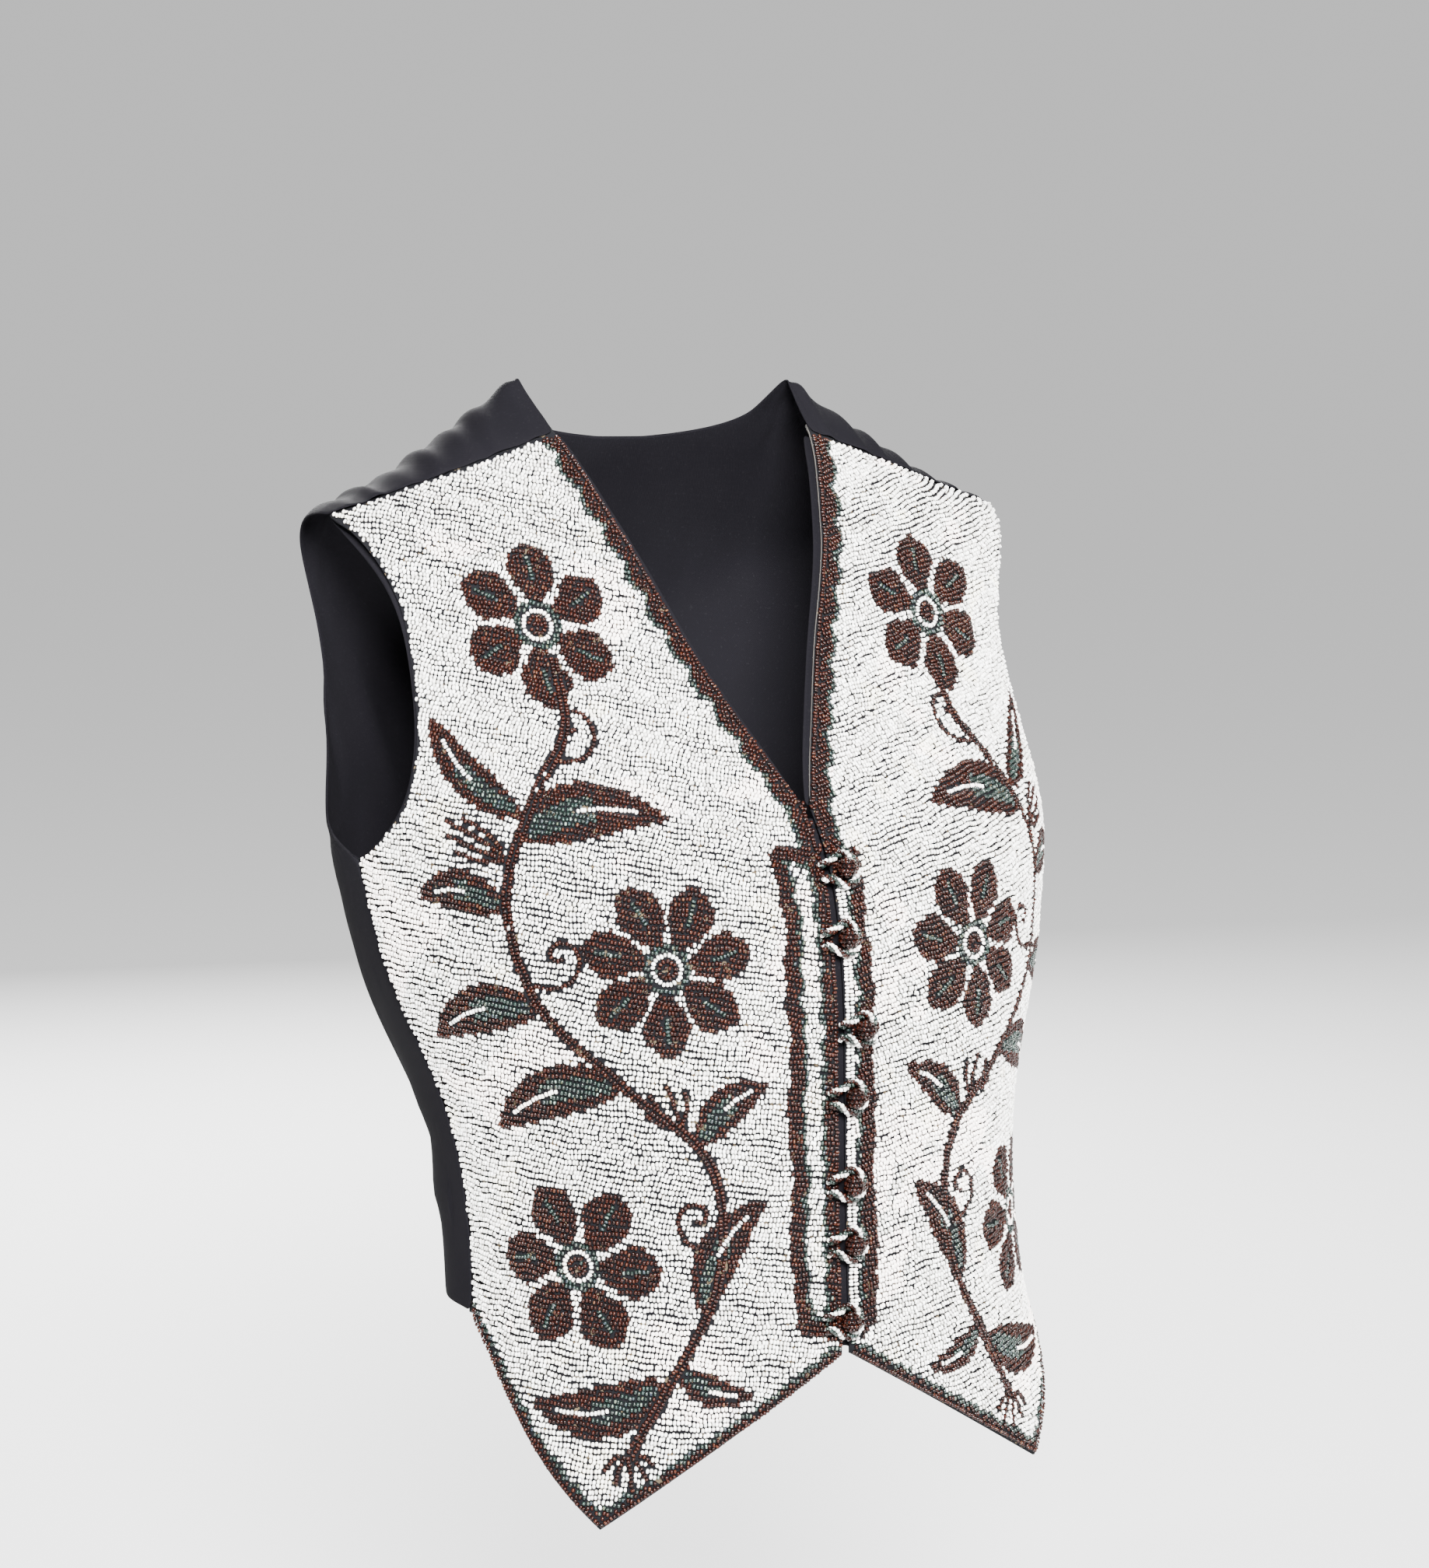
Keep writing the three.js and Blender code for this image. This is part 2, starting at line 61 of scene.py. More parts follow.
# %% Rings of the figure
# height, half width, depth to the front, depth to the back
RINGS = np.array([
    (-0.550, 0.1670, 0.117, 0.112),
    (-0.490, 0.1610, 0.095, 0.096),
    (-0.410, 0.1385, 0.105, 0.073),
    (-0.330, 0.1400, 0.112, 0.091),
    (-0.250, 0.1670, 0.106, 0.099),
    (-0.205, 0.1740, 0.110, 0.104),
    (-0.160, 0.1727, 0.094, 0.102),
    (-0.115, 0.1750, 0.075, 0.096),
    (-0.095, 0.1830, 0.069, 0.089),
    (-0.075, 0.1850, 0.062, 0.078),
    (-0.060, 0.1730, 0.054, 0.066),
    (-0.049, 0.1460, 0.049, 0.057),
    (-0.035, 0.1210, 0.042, 0.047),
    (-0.024, 0.1040, 0.034, 0.037),
    (-0.013, 0.0880, 0.022, 0.025),
    (0.000, 0.0710, 0.008, 0.012),
])
RING_POWER = 2 / 2.26
SWAY, SWAY_FROM, SWAY_HEIGHT, SWAY_LIMIT = 0.082, -0.010, 0.440, 1.4
FULL_OUT, FULL_X, FULL_Z, FULL_SPREAD = 0.0165, 0.080, -0.251, 0.062
BRIDGE_OUT, BRIDGE_WIDE, BRIDGE_TALL = 0.015, 0.045, 0.060
SIDE_FADE = 8


def smooth(heights, values, z):
    """A cubic curve through the rows of a table."""
    row = np.clip(np.searchsorted(heights, z) - 1, 0, len(heights) - 2)
    step = np.diff(heights)
    slope = np.diff(values) / step
    tangent = np.concatenate([
        slope[:1],
        (slope[1:] * step[:-1] + slope[:-1] * step[1:]) / (step[:-1] + step[1:]),
        slope[-1:],
    ])
    t = (z - heights[row]) / step[row]
    return ((2 * t**3 - 3 * t**2 + 1) * values[row] + (t**3 - 2 * t**2 + t) * step[row] * tangent[row]
            + (3 * t**2 - 2 * t**3) * values[row + 1] + (t**3 - t**2) * step[row] * tangent[row + 1])


def half_width(z):
    return smooth(RINGS[:, 0], RINGS[:, 1], z)


def centre(z):
    return -SWAY * np.clip((SWAY_FROM - z) / SWAY_HEIGHT, 0, SWAY_LIMIT)


def fullness(x, z):
    sides = sum(np.exp(-((x - side * FULL_X) / FULL_SPREAD)**2) for side in (1, -1))
    bridge = np.exp(-(x / BRIDGE_WIDE)**2 - ((z - FULL_Z) / BRIDGE_TALL)**2)
    return FULL_OUT * sides * np.exp(-((z - FULL_Z) / FULL_SPREAD)**2) + BRIDGE_OUT * bridge


def figure(angle, z):
    """Points of the outer surface. Angle 0 is the wearer's left side, a quarter turn is the front."""
    angle, z = np.broadcast_arrays(np.asarray(angle, float), np.asarray(z, float))
    c, s = np.cos(angle), np.sin(angle)
    x = half_width(z) * np.sign(c) * np.abs(c)**RING_POWER
    depth = np.abs(s)**RING_POWER
    ahead = smooth(RINGS[:, 0], RINGS[:, 2], z) * depth + fullness(x, z) * (1 - c**SIDE_FADE)
    behind = smooth(RINGS[:, 0], RINGS[:, 3], z) * depth
    return np.stack([x, centre(z) + np.where(s < 0, behind, -ahead), z], axis=-1)


def unit(vectors):
    return vectors / np.linalg.norm(vectors, axis=-1, keepdims=True)


def outward(angle, z):
    """Directions straight out of the surface, from two short steps along it."""
    step = 1e-4
    across = figure(angle + step, z) - figure(angle - step, z)
    up = figure(angle, z + step) - figure(angle, z - step)
    return unit(np.cross(up, across))


def angle_at(x, z):
    return np.arccos(np.minimum(np.abs(x) / half_width(z), 1)**(1 / RING_POWER))


for level in (-0.25, -0.37):
    print("half width at", level, "is", round(float(half_width(level)), 4))

# %% [markdown]
# ## A flat chart of each front
# Sewing is done on flat cloth, so it helps to draw on a flat chart: one number for how far round
# the body a place is from the centre line, measured along the surface, and one for its height. A
# small table turns a place on the chart into an angle on its ring, and so into a point in space.

# %% Chart
CHART_STEP, CHART_RISE = 0.002, 0.0025
CHART_ROUND = np.arange(0, 0.272, CHART_STEP)
CHART_HEIGHT = np.arange(-0.5075, -0.0095, CHART_RISE)
QUARTER = np.linspace(math.pi / 2, 0.002, 420)
SIDE_NAMES = {-1: "right", 1: "left"}


def length_along(points):
    """Distance travelled from the first point of a line to each of its points."""
    steps = np.linalg.norm(np.diff(points, axis=0), axis=1)
    return np.concatenate([[0], np.cumsum(steps)])


def read_off(stops, along, values):
    """The values of a table at some distances along it, column by column."""
    return np.stack([np.interp(stops, along, column) for column in values.T], axis=1)


CHART = np.array([
    np.interp(CHART_ROUND, length_along(figure(QUARTER, z)), QUARTER) for z in CHART_HEIGHT
])


def chart_angle(across, z):
    """The angle at each place of the chart, mixed from the four nearest values of the table."""
    column = np.clip((across - CHART_ROUND[0]) / CHART_STEP, 0, len(CHART_ROUND) - 1.001)
    row = np.clip((z - CHART_HEIGHT[0]) / CHART_RISE, 0, len(CHART_HEIGHT) - 1.001)
    i, j = column.astype(int), row.astype(int)
    part_across, part_up = column - i, row - j
    low = CHART[j, i] * (1 - part_across) + CHART[j, i + 1] * part_across
    high = CHART[j + 1, i] * (1 - part_across) + CHART[j + 1, i + 1] * part_across
    return low * (1 - part_up) + high * part_up


def chart_place(angle, z):
    """Distance round from the centre line to an angle on the ring at one height."""
    return float(np.interp(-angle, -QUARTER, length_along(figure(QUARTER, z))))


def on_front(side, across, z, out=0.0):
    """Points and outward directions on one front. Side is 1 for the wearer's left, -1 for the right."""
    angle = chart_angle(across, z)
    normals = outward(angle, z)
    points = figure(angle, z) + out * normals
    flip = np.array([side, 1, 1])
    return points * flip, normals * flip


print("chart:", CHART.shape[1], "places round at each of", CHART.shape[0], "heights")

# %% [markdown]
# ## The outline of a front
# A front has seven edges: two along the pointed hem, the side seam, the armhole, the shoulder seam,
# the neckline and the closing. Their corners are the driving sizes; each edge is then a line of
# places on the chart.

# %% Outline
HALF_OPENING, BEAD_MEETING = 0.0019, 0.0001
V_BOTTOM, CENTRE_BOTTOM, CLOSED_TO = -0.185, -0.421, -0.205
HEM_POINT = (0.111, -0.4865)
SIDE_BOTTOM, ARMHOLE_BOTTOM = -0.407, -0.210
SIDE_ANGLE = math.radians(6.09)
NECK_CORNER, SHOULDER_CORNER = (0.066, -0.025), (0.171, -0.060)
NECK_BOW = 0.0035
ARMHOLE = np.array([
    (-0.210, 0.1732), (-0.200, 0.1695), (-0.185, 0.1625), (-0.165, 0.1563),
    (-0.135, 0.1522), (-0.100, 0.1540), (-0.076, 0.1626), (-0.060, 0.1710),
])


def mix(a, b, t):
    return a + (b - a) * t


def edge_line(count, x_at, z_at, angle_of=angle_at):
    """An edge as places on the chart, from a formula for its x and one for its height."""
    t = np.linspace(0, 1, count)
    x, z = x_at(t), z_at(t)
    return np.array([(chart_place(angle_of(a, b), b), b) for a, b in zip(x, z)])


def armhole_height(t):
    return mix(ARMHOLE_BOTTOM, SHOULDER_CORNER[1], t**1.5)


hem_inner = edge_line(40, lambda t: mix(HALF_OPENING, HEM_POINT[0], t),
                      lambda t: mix(CENTRE_BOTTOM, HEM_POINT[1], t))
hem_outer = edge_line(40, lambda t: mix(angle_at(*HEM_POINT), SIDE_ANGLE, t),
                      lambda t: mix(HEM_POINT[1], SIDE_BOTTOM, t), lambda angle, z: angle)
side_seam = edge_line(30, lambda t: SIDE_ANGLE + 0 * t,
                      lambda t: mix(SIDE_BOTTOM, ARMHOLE_BOTTOM, t), lambda angle, z: angle)
armhole = edge_line(40, lambda t: smooth(ARMHOLE[:, 0], ARMHOLE[:, 1], armhole_height(t)), armhole_height)
shoulder = edge_line(30, lambda t: mix(NECK_CORNER[0], SHOULDER_CORNER[0], t),
                     lambda t: mix(NECK_CORNER[1], SHOULDER_CORNER[1], t))
neckline = edge_line(50, lambda t: mix(HALF_OPENING, NECK_CORNER[0], t) + NECK_BOW * np.sin(math.pi * t),
                     lambda t: mix(V_BOTTOM, NECK_CORNER[1], t))
closing = edge_line(30, lambda t: HALF_OPENING + 0 * t, lambda t: mix(CENTRE_BOTTOM, V_BOTTOM, t))
# Above the first button the beads reach over the opening until the two fronts touch.
closing_of_beads = np.array([
    (BEAD_MEETING, V_BOTTOM + 0.001), (BEAD_MEETING, CLOSED_TO), (HALF_OPENING, CLOSED_TO - 0.002),
])
outline = np.concatenate([hem_inner, hem_outer[1:], side_seam[1:], armhole[1:],
                          shoulder[::-1][1:], neckline[::-1][1:-1], closing_of_beads])
print("outline corners:", len(outline), "widest:", round(float(outline[:, 0].max()), 4))


def within(places, shape):
    """Which places lie inside a shape: a level line from there crosses its edge an odd number of times."""
    a, b = shape, np.roll(shape, -1, axis=0)
    p = places[:, None, :]
    above = (a[:, 1] > p[..., 1]) != (b[:, 1] > p[..., 1])
    rise = np.where(b[:, 1] == a[:, 1], 1e-12, b[:, 1] - a[:, 1])
    crossing = a[:, 0] + (p[..., 1] - a[:, 1]) * (b[:, 0] - a[:, 0]) / rise
    return (above & (p[..., 0] < crossing)).sum(axis=1) % 2 == 1


def inside(places, margin):
    """Which places lie inside the outline, at least a margin away from its edges."""
    a, b = outline, np.roll(outline, -1, axis=0)
    p = places[:, None, :]
    along = np.clip(((p - a) * (b - a)).sum(-1) / ((b - a)**2).sum(-1), 0, 1)
    distance = np.linalg.norm(p - a - along[..., None] * (b - a), axis=-1)
    return within(places, outline) & (distance.min(axis=1, initial=1.0) > margin)


# %% [markdown]
# ## Threading beads
# A needleworker threads a few beads, lays them along a line and sews them down. The same is done
# here: a strand is a line on the chart, and beads are set along it at one bead's length. Each bead
# remembers its middle, the direction of its hole and the direction away from the cloth. No hand is
# perfectly even, so every bead also sits a hair's breadth away from its proper place.

# %% Strands and beads
BEAD_RADIUS = 0.00098
BEAD_LENGTH = 0.00145
BEAD_PITCH = 0.00168
ROW_PITCH = 0.00229
BEAD_DEPTH = -0.00116
HAND_ERROR = 0.00015
rng = np.random.default_rng(11)


def dense(line, step=0.0005):
    """The same line on the chart with a point at every short step."""
    line = np.asarray(line, float)
    along = length_along(line)
    return read_off(np.linspace(0, along[-1], max(int(along[-1] / step), 2)), along, line)


def string_beads(side, line, loose=0.0):
    """Beads at equal distances along a line of the chart."""
    line = dense(line)
    points, _ = on_front(side, line[:, 0], line[:, 1], BEAD_DEPTH)
    along = length_along(points)
    count = max(int((along[-1] - loose) / BEAD_PITCH), 0)
    stops = loose + BEAD_PITCH * (0.5 + np.arange(count))
    places = read_off(stops, along, line)
    middle, up = on_front(side, places[:, 0], places[:, 1], BEAD_DEPTH)
    ahead = read_off(stops + BEAD_PITCH / 4, along, points)
    back = read_off(stops - BEAD_PITCH / 4, along, points)
    middle = middle + rng.normal(0, HAND_ERROR, middle.shape)
    return {"place": places, "middle": middle, "up": up, "axis": unit(ahead - back)}


class BeadBox:
    """Beads already sewn down, kept in small cubes of space so that near ones are found quickly."""

    def __init__(self, reach):
        self.reach = reach
        self.cubes = {}

    def cube(self, point):
        return tuple(int(math.floor(v / self.reach)) for v in point)

    def add(self, points):
        for point in points:
            self.cubes.setdefault(self.cube(point), []).append(point)

    def crowded(self, point, reach):
        i, j, k = self.cube(point)
        for a in (i - 1, i, i + 1):
            for b in (j - 1, j, j + 1):
                for c in (k - 1, k, k + 1):
                    for other in self.cubes.get((a, b, c), ()):
                        if math.dist(point, other) < reach:
                            return True
        return False


print("beads on a square centimetre:", round(1e-4 / (BEAD_PITCH * ROW_PITCH), 1))

# %% [markdown]
# ## Borders
# A border lies beside an edge: a brown band that swells into small bulges, each rimmed with dark
# green. Every place of the chart is asked how far it is from the edge and how far along it, and the
# answer gives the colour of the bead that is sewn there. On the right front a whole frame stands
# beside the closing, on the left one only its outer line, with an ivory strip at the edge and a
# brown patch behind each ball.

# %% Borders
IVORY, BROWN, GREEN = 0, 1, 2
COLOURS = ("ivory", "brown", "green")
GREEN_RIM = 0.0021
PLACKET_TOP, PLACKET_BOTTOM, PLACKET_FOOT = -0.2015, -0.4080, -0.4160
PLACKET_OUTER, PLACKET_CORNER, STRIP_OUTER, STRIP_EDGE = 0.0255, 0.0030, 0.0165, 0.0060
PLACKET_SWAYS = ((0.0009, 0.055), (0.0006, 0.021))
KNOB_PATCH, EDGE_BEAD = 0.0050, 0.0012
BUTTON_PLACES = ((0.0060, -0.213), (0.0020, -0.241), (0.0086, -0.280), (0.0032, -0.309),
                 (0.0020, -0.347), (0.0020, -0.373), (-0.0010, -0.406))


def straight(*places):
    return np.array(places, float)


def circle(middle, radius):
    turn = np.linspace(0, 2 * math.pi, 48)
    return np.array(middle) + radius * np.stack([np.cos(turn), np.sin(turn)], axis=1)


def moved_in(line, distance):
    """A line moved to its left by a distance."""
    line = dense(line)
    ahead = unit(np.gradient(line, axis=0))
    return line + np.stack([-ahead[:, 1], ahead[:, 0]], axis=1) * distance


def wavy_down(across):
    """A line down the placket with the slight sway of a line drawn by hand."""
    height = np.linspace(PLACKET_TOP - PLACKET_CORNER, PLACKET_BOTTOM, 90)
    sway = sum(size * np.sin(height * 2 * math.pi / length) for size, length in PLACKET_SWAYS)
    return np.stack([across + sway, height], axis=1)


frame_shape = np.concatenate([
    straight((HALF_OPENING, PLACKET_TOP), (PLACKET_OUTER - PLACKET_CORNER, PLACKET_TOP)),
    wavy_down(PLACKET_OUTER),
    straight((HALF_OPENING, PLACKET_FOOT), (HALF_OPENING, PLACKET_TOP)),
])
band_shape = np.concatenate([
    straight((STRIP_EDGE, PLACKET_TOP)), wavy_down(STRIP_OUTER), straight((STRIP_EDGE, PLACKET_FOOT)),
])
link = straight((HALF_OPENING, V_BOTTOM), (HALF_OPENING, PLACKET_TOP - 0.004))


def borders(side):
    """Each border as a line, the width of its brown band, its bulge, their distance, and its limits."""
    rows = [(neckline, 0.0050, 0.0036, 0.0165, None), (link, 0.0066, 0.0010, 0.0130, None),
            (hem_inner, 0.0030, 0.0015, 0.0120, None), (hem_outer, 0.0030, 0.0015, 0.0120, None)]
    if side < 0:
        rows.append((frame_shape, 0.0048, 0.0020, 0.0145, frame_shape))
    else:
        rows.append((band_shape[1:], 0.0054, 0.0022, 0.0150, band_shape))
    return rows


def bands(places, line, width, bulge, pitch):
    """Which places a border's brown band takes, and which it takes with its green rim."""
    line = dense(line, 0.0012)
    along = length_along(line)
    apart = np.linalg.norm(places[:, None] - line[None], axis=2)
    limit = width + bulge * np.abs(np.sin(math.pi * along[apart.argmin(axis=1)] / pitch))**0.8
    nearest = apart.min(axis=1)
    return nearest < limit, nearest < limit + GREEN_RIM


def edge_strands(side):
    """Single strands along the edges, for a clean line. None stands for the colours of the border."""
    strands = [(BROWN, moved_in(edge, EDGE_BEAD)) for edge in (neckline[::-1], hem_inner, hem_outer, link)]
    closing_edge = straight((HALF_OPENING, PLACKET_TOP), (HALF_OPENING, CENTRE_BOTTOM + 0.003))
    if side < 0:
        strands.append((BROWN, moved_in(closing_edge, EDGE_BEAD)))
    else:
        strands += [(None, moved_in(closing_edge, EDGE_BEAD + k * ROW_PITCH)) for k in range(2)]
    return strands


for side, side_name in SIDE_NAMES.items():
    print(side_name, "borders:", len(borders(side)), "edge strands:", len(edge_strands(side)))

# %% [markdown]
# ## Sprays of leaves and flowers
# Each front carries a climbing spray in the same brown as the borders. A leaf or a petal is a shape
# on the chart: the rows of the field run on through it and only change their colour. Thin lines,
# such as stems, veins and tendrils, are strands of their own that follow the drawing.

# %% Leaves and flowers
PETAL_START, PETAL_BEND, PETAL_SWELL = 0.006, 0.05, 1.45
EYE_SHAPES = ((GREEN, 0.0105), (BROWN, 0.0025))
EYE_STRANDS = ((IVORY, 0.0062), (BROWN, 0.0036))
COIL_TURNS = 1.3


def bent_line(base, tip, bend, count=60):
    """A line from base to tip that bows to its left by a part of its length."""
    base, tip = np.array(base, float), np.array(tip, float)
    t = np.linspace(0, 1, count)[:, None]
    aside = np.array([-(tip - base)[1], (tip - base)[0]])
    return base + (tip - base) * t + aside * bend * np.sin(math.pi * t)


def leaf(base, tip, width, bend, swell=0.85):
    """Shapes and strands of a leaf: its brown blade, a green heart, and a vein."""
    spine = bent_line(base, tip, bend)
    ahead = unit(np.gradient(spine, axis=0))
    t = np.linspace(0, 1, len(spine))[:, None]
    half = np.stack([-ahead[:, 1], ahead[:, 0]], axis=1) * width / 2 * np.sin(math.pi * t**swell)**0.75
    blade = np.concatenate([spine + half, (spine - half)[::-1]])
    heart = np.concatenate([(spine + half * 0.45)[4:34], (spine - half * 0.45)[34:4:-1]])
    return [(BROWN, blade), (GREEN, heart)], [(IVORY, spine[26:-10])]


def flower(middle, radius, petals, width, turned):
    """A ring of petals round a centre of a brown and an ivory ring."""
    middle = np.array(middle)
    shapes, strands = [], []
    for k in range(petals):
        turn = math.radians(turned) + 2 * math.pi * k / petals
        way = np.array([math.cos(turn), math.sin(turn)])
        base, tip = middle + way * PETAL_START, middle + way * radius
        shape, vein = leaf(base, tip, width, PETAL_BEND, PETAL_SWELL)
        shapes.append(shape[0])
        strands.append((GREEN, vein[0][1]))
    shapes += [(colour, circle(middle, size)) for colour, size in EYE_SHAPES]
    return shapes, strands + [(colour, circle(middle, size)) for colour, size in EYE_STRANDS]


def coil(start, heading, size, hand):
    """A tendril that leaves in one direction and rolls itself up."""
    t = np.linspace(0, 1, 120)
    turn = math.radians(heading) + hand * 2 * math.pi * COIL_TURNS * t**1.4
    steps = np.stack([np.cos(turn), np.sin(turn)], axis=1) * ((1.15 - t) * size / 40)[:, None]
    return (BROWN, np.array(start) + np.cumsum(steps, axis=0))


def tuft(base, heading, spread, count, length):
    """Thin strands that fan out from one place."""
    strands = []
    for part in np.linspace(-0.5, 0.5, count):
        turn = math.radians(heading + spread * part)
        tip = np.array(base) + length * (1 - abs(part) * 0.4) * np.array([math.cos(turn), math.sin(turn)])
        strands.append((BROWN, bent_line(base, tip, 0.22 * part)))
    return strands


def curve_through(*places):
    """A smooth line through places, by the same cubic as the rings."""
    places = np.array(places, float)
    along = length_along(places)
    t = np.linspace(0, along[-1], 160)
    return np.stack([smooth(along, places[:, k], t) for k in (0, 1)], axis=1)


STEM = curve_through((0.100, -0.456), (0.082, -0.426), (0.060, -0.384), (0.062, -0.335), (0.100, -0.300),
                     (0.138, -0.262), (0.146, -0.222), (0.122, -0.178), (0.100, -0.150), (0.097, -0.120))
FLOWERS = (
    # middle, radius, petals, petal width, turned
    ((0.100, -0.108), 0.035, 6, 0.0215, 30),
    ((0.078, -0.250), 0.038, 7, 0.0205, 12),
    ((0.120, -0.378), 0.037, 6, 0.0225, 0),
)
LEAVES = (
    # base, tip, width, bend
    ((0.066, -0.398), (0.037, -0.350), 0.0195, -0.12),
    ((0.083, -0.426), (0.142, -0.436), 0.0220, -0.13),
    ((0.078, -0.420), (0.044, -0.434), 0.0135, 0.12),
    ((0.066, -0.326), (0.034, -0.300), 0.0170, -0.12),
    ((0.098, -0.300), (0.158, -0.322), 0.0225, 0.12),
    ((0.134, -0.268), (0.188, -0.284), 0.0215, 0.12),
    ((0.146, -0.226), (0.186, -0.222), 0.0190, 0.14),
    ((0.134, -0.196), (0.066, -0.188), 0.0225, -0.12),
    ((0.128, -0.186), (0.156, -0.146), 0.0190, -0.14),
)
COILS = (
    # start, heading, size, hand
    ((0.060, -0.372), 10, 0.026, 1),
    ((0.140, -0.256), 200, 0.030, -1),
    ((0.110, -0.164), 190, 0.030, -1),
)
TUFTS = (
    # base, heading, spread, count, length
    ((0.140, -0.204), 26, 38, 4, 0.030),
    ((0.074, -0.318), 60, 70, 4, 0.022),
    ((0.100, -0.455), -95, 110, 5, 0.017),
)


def spray():
    """All shapes and all strands of the climbing spray on one front."""
    shapes, strands = [], []
    for row in FLOWERS:
        found = flower(*row)
        shapes += found[0]
        strands += found[1]
    for row in LEAVES:
        found = leaf(*row)
        shapes += found[0]
        strands += found[1]
    strands += [(BROWN, STEM), (BROWN, moved_in(STEM, ROW_PITCH))]
    strands += [coil(*row) for row in COILS]
    for row in TUFTS:
        strands += tuft(*row)
    return shapes, strands


SHAPES, STRANDS = spray()
print("shapes:", len(SHAPES), "strands:", len(STRANDS))

# %% [markdown]
# ## Sewing a whole front
# The strands are sewn first, then rows fill the front from the hem to the shoulder. Where a row
# would cross a strand, it leaves its bead out, as a needleworker does. The rows climb a little
# towards the sides, more so near the shoulders, and stray from true in slow waves, so that they
# crowd in one place and part in another, where a dark gap shows between them.

# %% Fill a front with beads
ROW_CLIMB = (
    # height, rise of a row for each metre sideways
    (-0.470, 0.12),
    (-0.070, 0.25),
)
LOWEST_ROW, HIGHEST_ROW = -0.502, -0.036
EDGE_MARGIN = 0.0009
TOUCH_STRAND, TOUCH_FIELD = 0.00155, 0.00146
WAVES = (
    # size, turns per metre across, turns per metre up, phase
    (0.00040, 30, 21, 0.4),
    (0.00030, -24, 42, 2.1),
    (0.00022, 64, 12, 1.2),
    (0.00012, 17, -85, 5.0),
    (0.00009, -71, 107, 3.3),
)
WIGGLE, WIGGLE_LENGTH = 0.00011, 0.0120
CUBE_SIDE = 0.0024


def kept(beads, mask):
    return {key: value[mask] for key, value in beads.items()}


def stray(side, across, height):
    """How far up or down the rows stray at a place."""
    return sum(size * np.sin(2 * math.pi * (turns * across + rise * height) + phase * side)
               for size, turns, rise, phase in WAVES)


def row_line(side, start):
    """One row as a line of the chart, from the centre line to past the side seam."""
    across = np.arange(0, 0.262, 0.002)
    climb = float(np.interp(start, *zip(*ROW_CLIMB)))
    height = np.full_like(across, start)
    for _ in range(6):
        height = start + climb * figure(chart_angle(across, height), height)[:, 0]
    wiggle = WIGGLE * np.sin(2 * math.pi * across / WIGGLE_LENGTH + rng.uniform(0, 2 * math.pi))
    return np.stack([across, height + stray(side, across, height) + wiggle], axis=1)


def row_starts():
    """Heights on the centre line, one row's width apart along the cloth below the bust point."""
    height = np.arange(LOWEST_ROW, HIGHEST_ROW, 0.0005)
    along = length_along(figure(chart_angle(np.full_like(height, FULL_X), height), height))
    return np.interp(np.arange(0, along[-1], ROW_PITCH), along, height)


def colours_at(side, places):
    """The colour of the bead at each place."""
    found = np.full(len(places), IVORY)
    patches = []
    for colour, rim in ((GREEN, GREEN_RIM), (BROWN, 0)):
        patches += [(colour, circle(place, KNOB_PATCH + rim)) for place in BUTTON_PLACES]
    for colour, shape in SHAPES + (patches if side > 0 else []):
        found[within(places, shape)] = colour
    for line, width, bulge, pitch, limits in borders(side):
        allowed = np.ones(len(places), bool) if limits is None else within(places, limits)
        band, band_and_rim = bands(places, line, width, bulge, pitch)
        found[band_and_rim & allowed & (found != BROWN)] = GREEN
        found[band & allowed] = BROWN
    return found


def sew_front(side):
    """All beads of one front, by colour."""
    box = BeadBox(CUBE_SIDE)
    sewn = {colour: [] for colour in COLOURS}

    def sort(beads, colours):
        for number, name in enumerate(COLOURS):
            sewn[name].append(kept(beads, colours == number))

    def sew(line, touch, loose=0.0):
        beads = string_beads(side, line, loose)
        beads = kept(beads, inside(beads["place"], EDGE_MARGIN))
        return kept(beads, np.array([not box.crowded(p, touch) for p in beads["middle"]], bool))

    for colour, line in edge_strands(side) + STRANDS:
        beads = sew(line, TOUCH_STRAND)
        box.add(beads["middle"])
        if colour is None:
            sort(beads, colours_at(side, beads["place"]))
        else:
            sort(beads, np.full(len(beads["place"]), colour))
    rows = [sew(row_line(side, start), TOUCH_FIELD, rng.uniform(0, BEAD_PITCH)) for start in row_starts()]
    field = {key: np.concatenate([row[key] for row in rows]) for key in rows[0]}
    sort(field, colours_at(side, field["place"]))
    return {colour: {key: np.concatenate([part[key] for part in parts]) for key in parts[0]}
            for colour, parts in sewn.items()}


beads_of = {side: sew_front(side) for side in (-1, 1)}
for side, sewn in beads_of.items():
    print(SIDE_NAMES[side], {colour: len(beads["middle"]) for colour, beads in sewn.items()})

# %% [markdown]
# ## Shader maths as ordinary sums
# A material in Blender is a graph of nodes. Written by hand, a simple sum takes four lines, so this
# small class wraps a socket and lets Python's own signs add the Math nodes. Colours are mixed by a
# method of the material, because a Math node would turn a colour into a grey number.

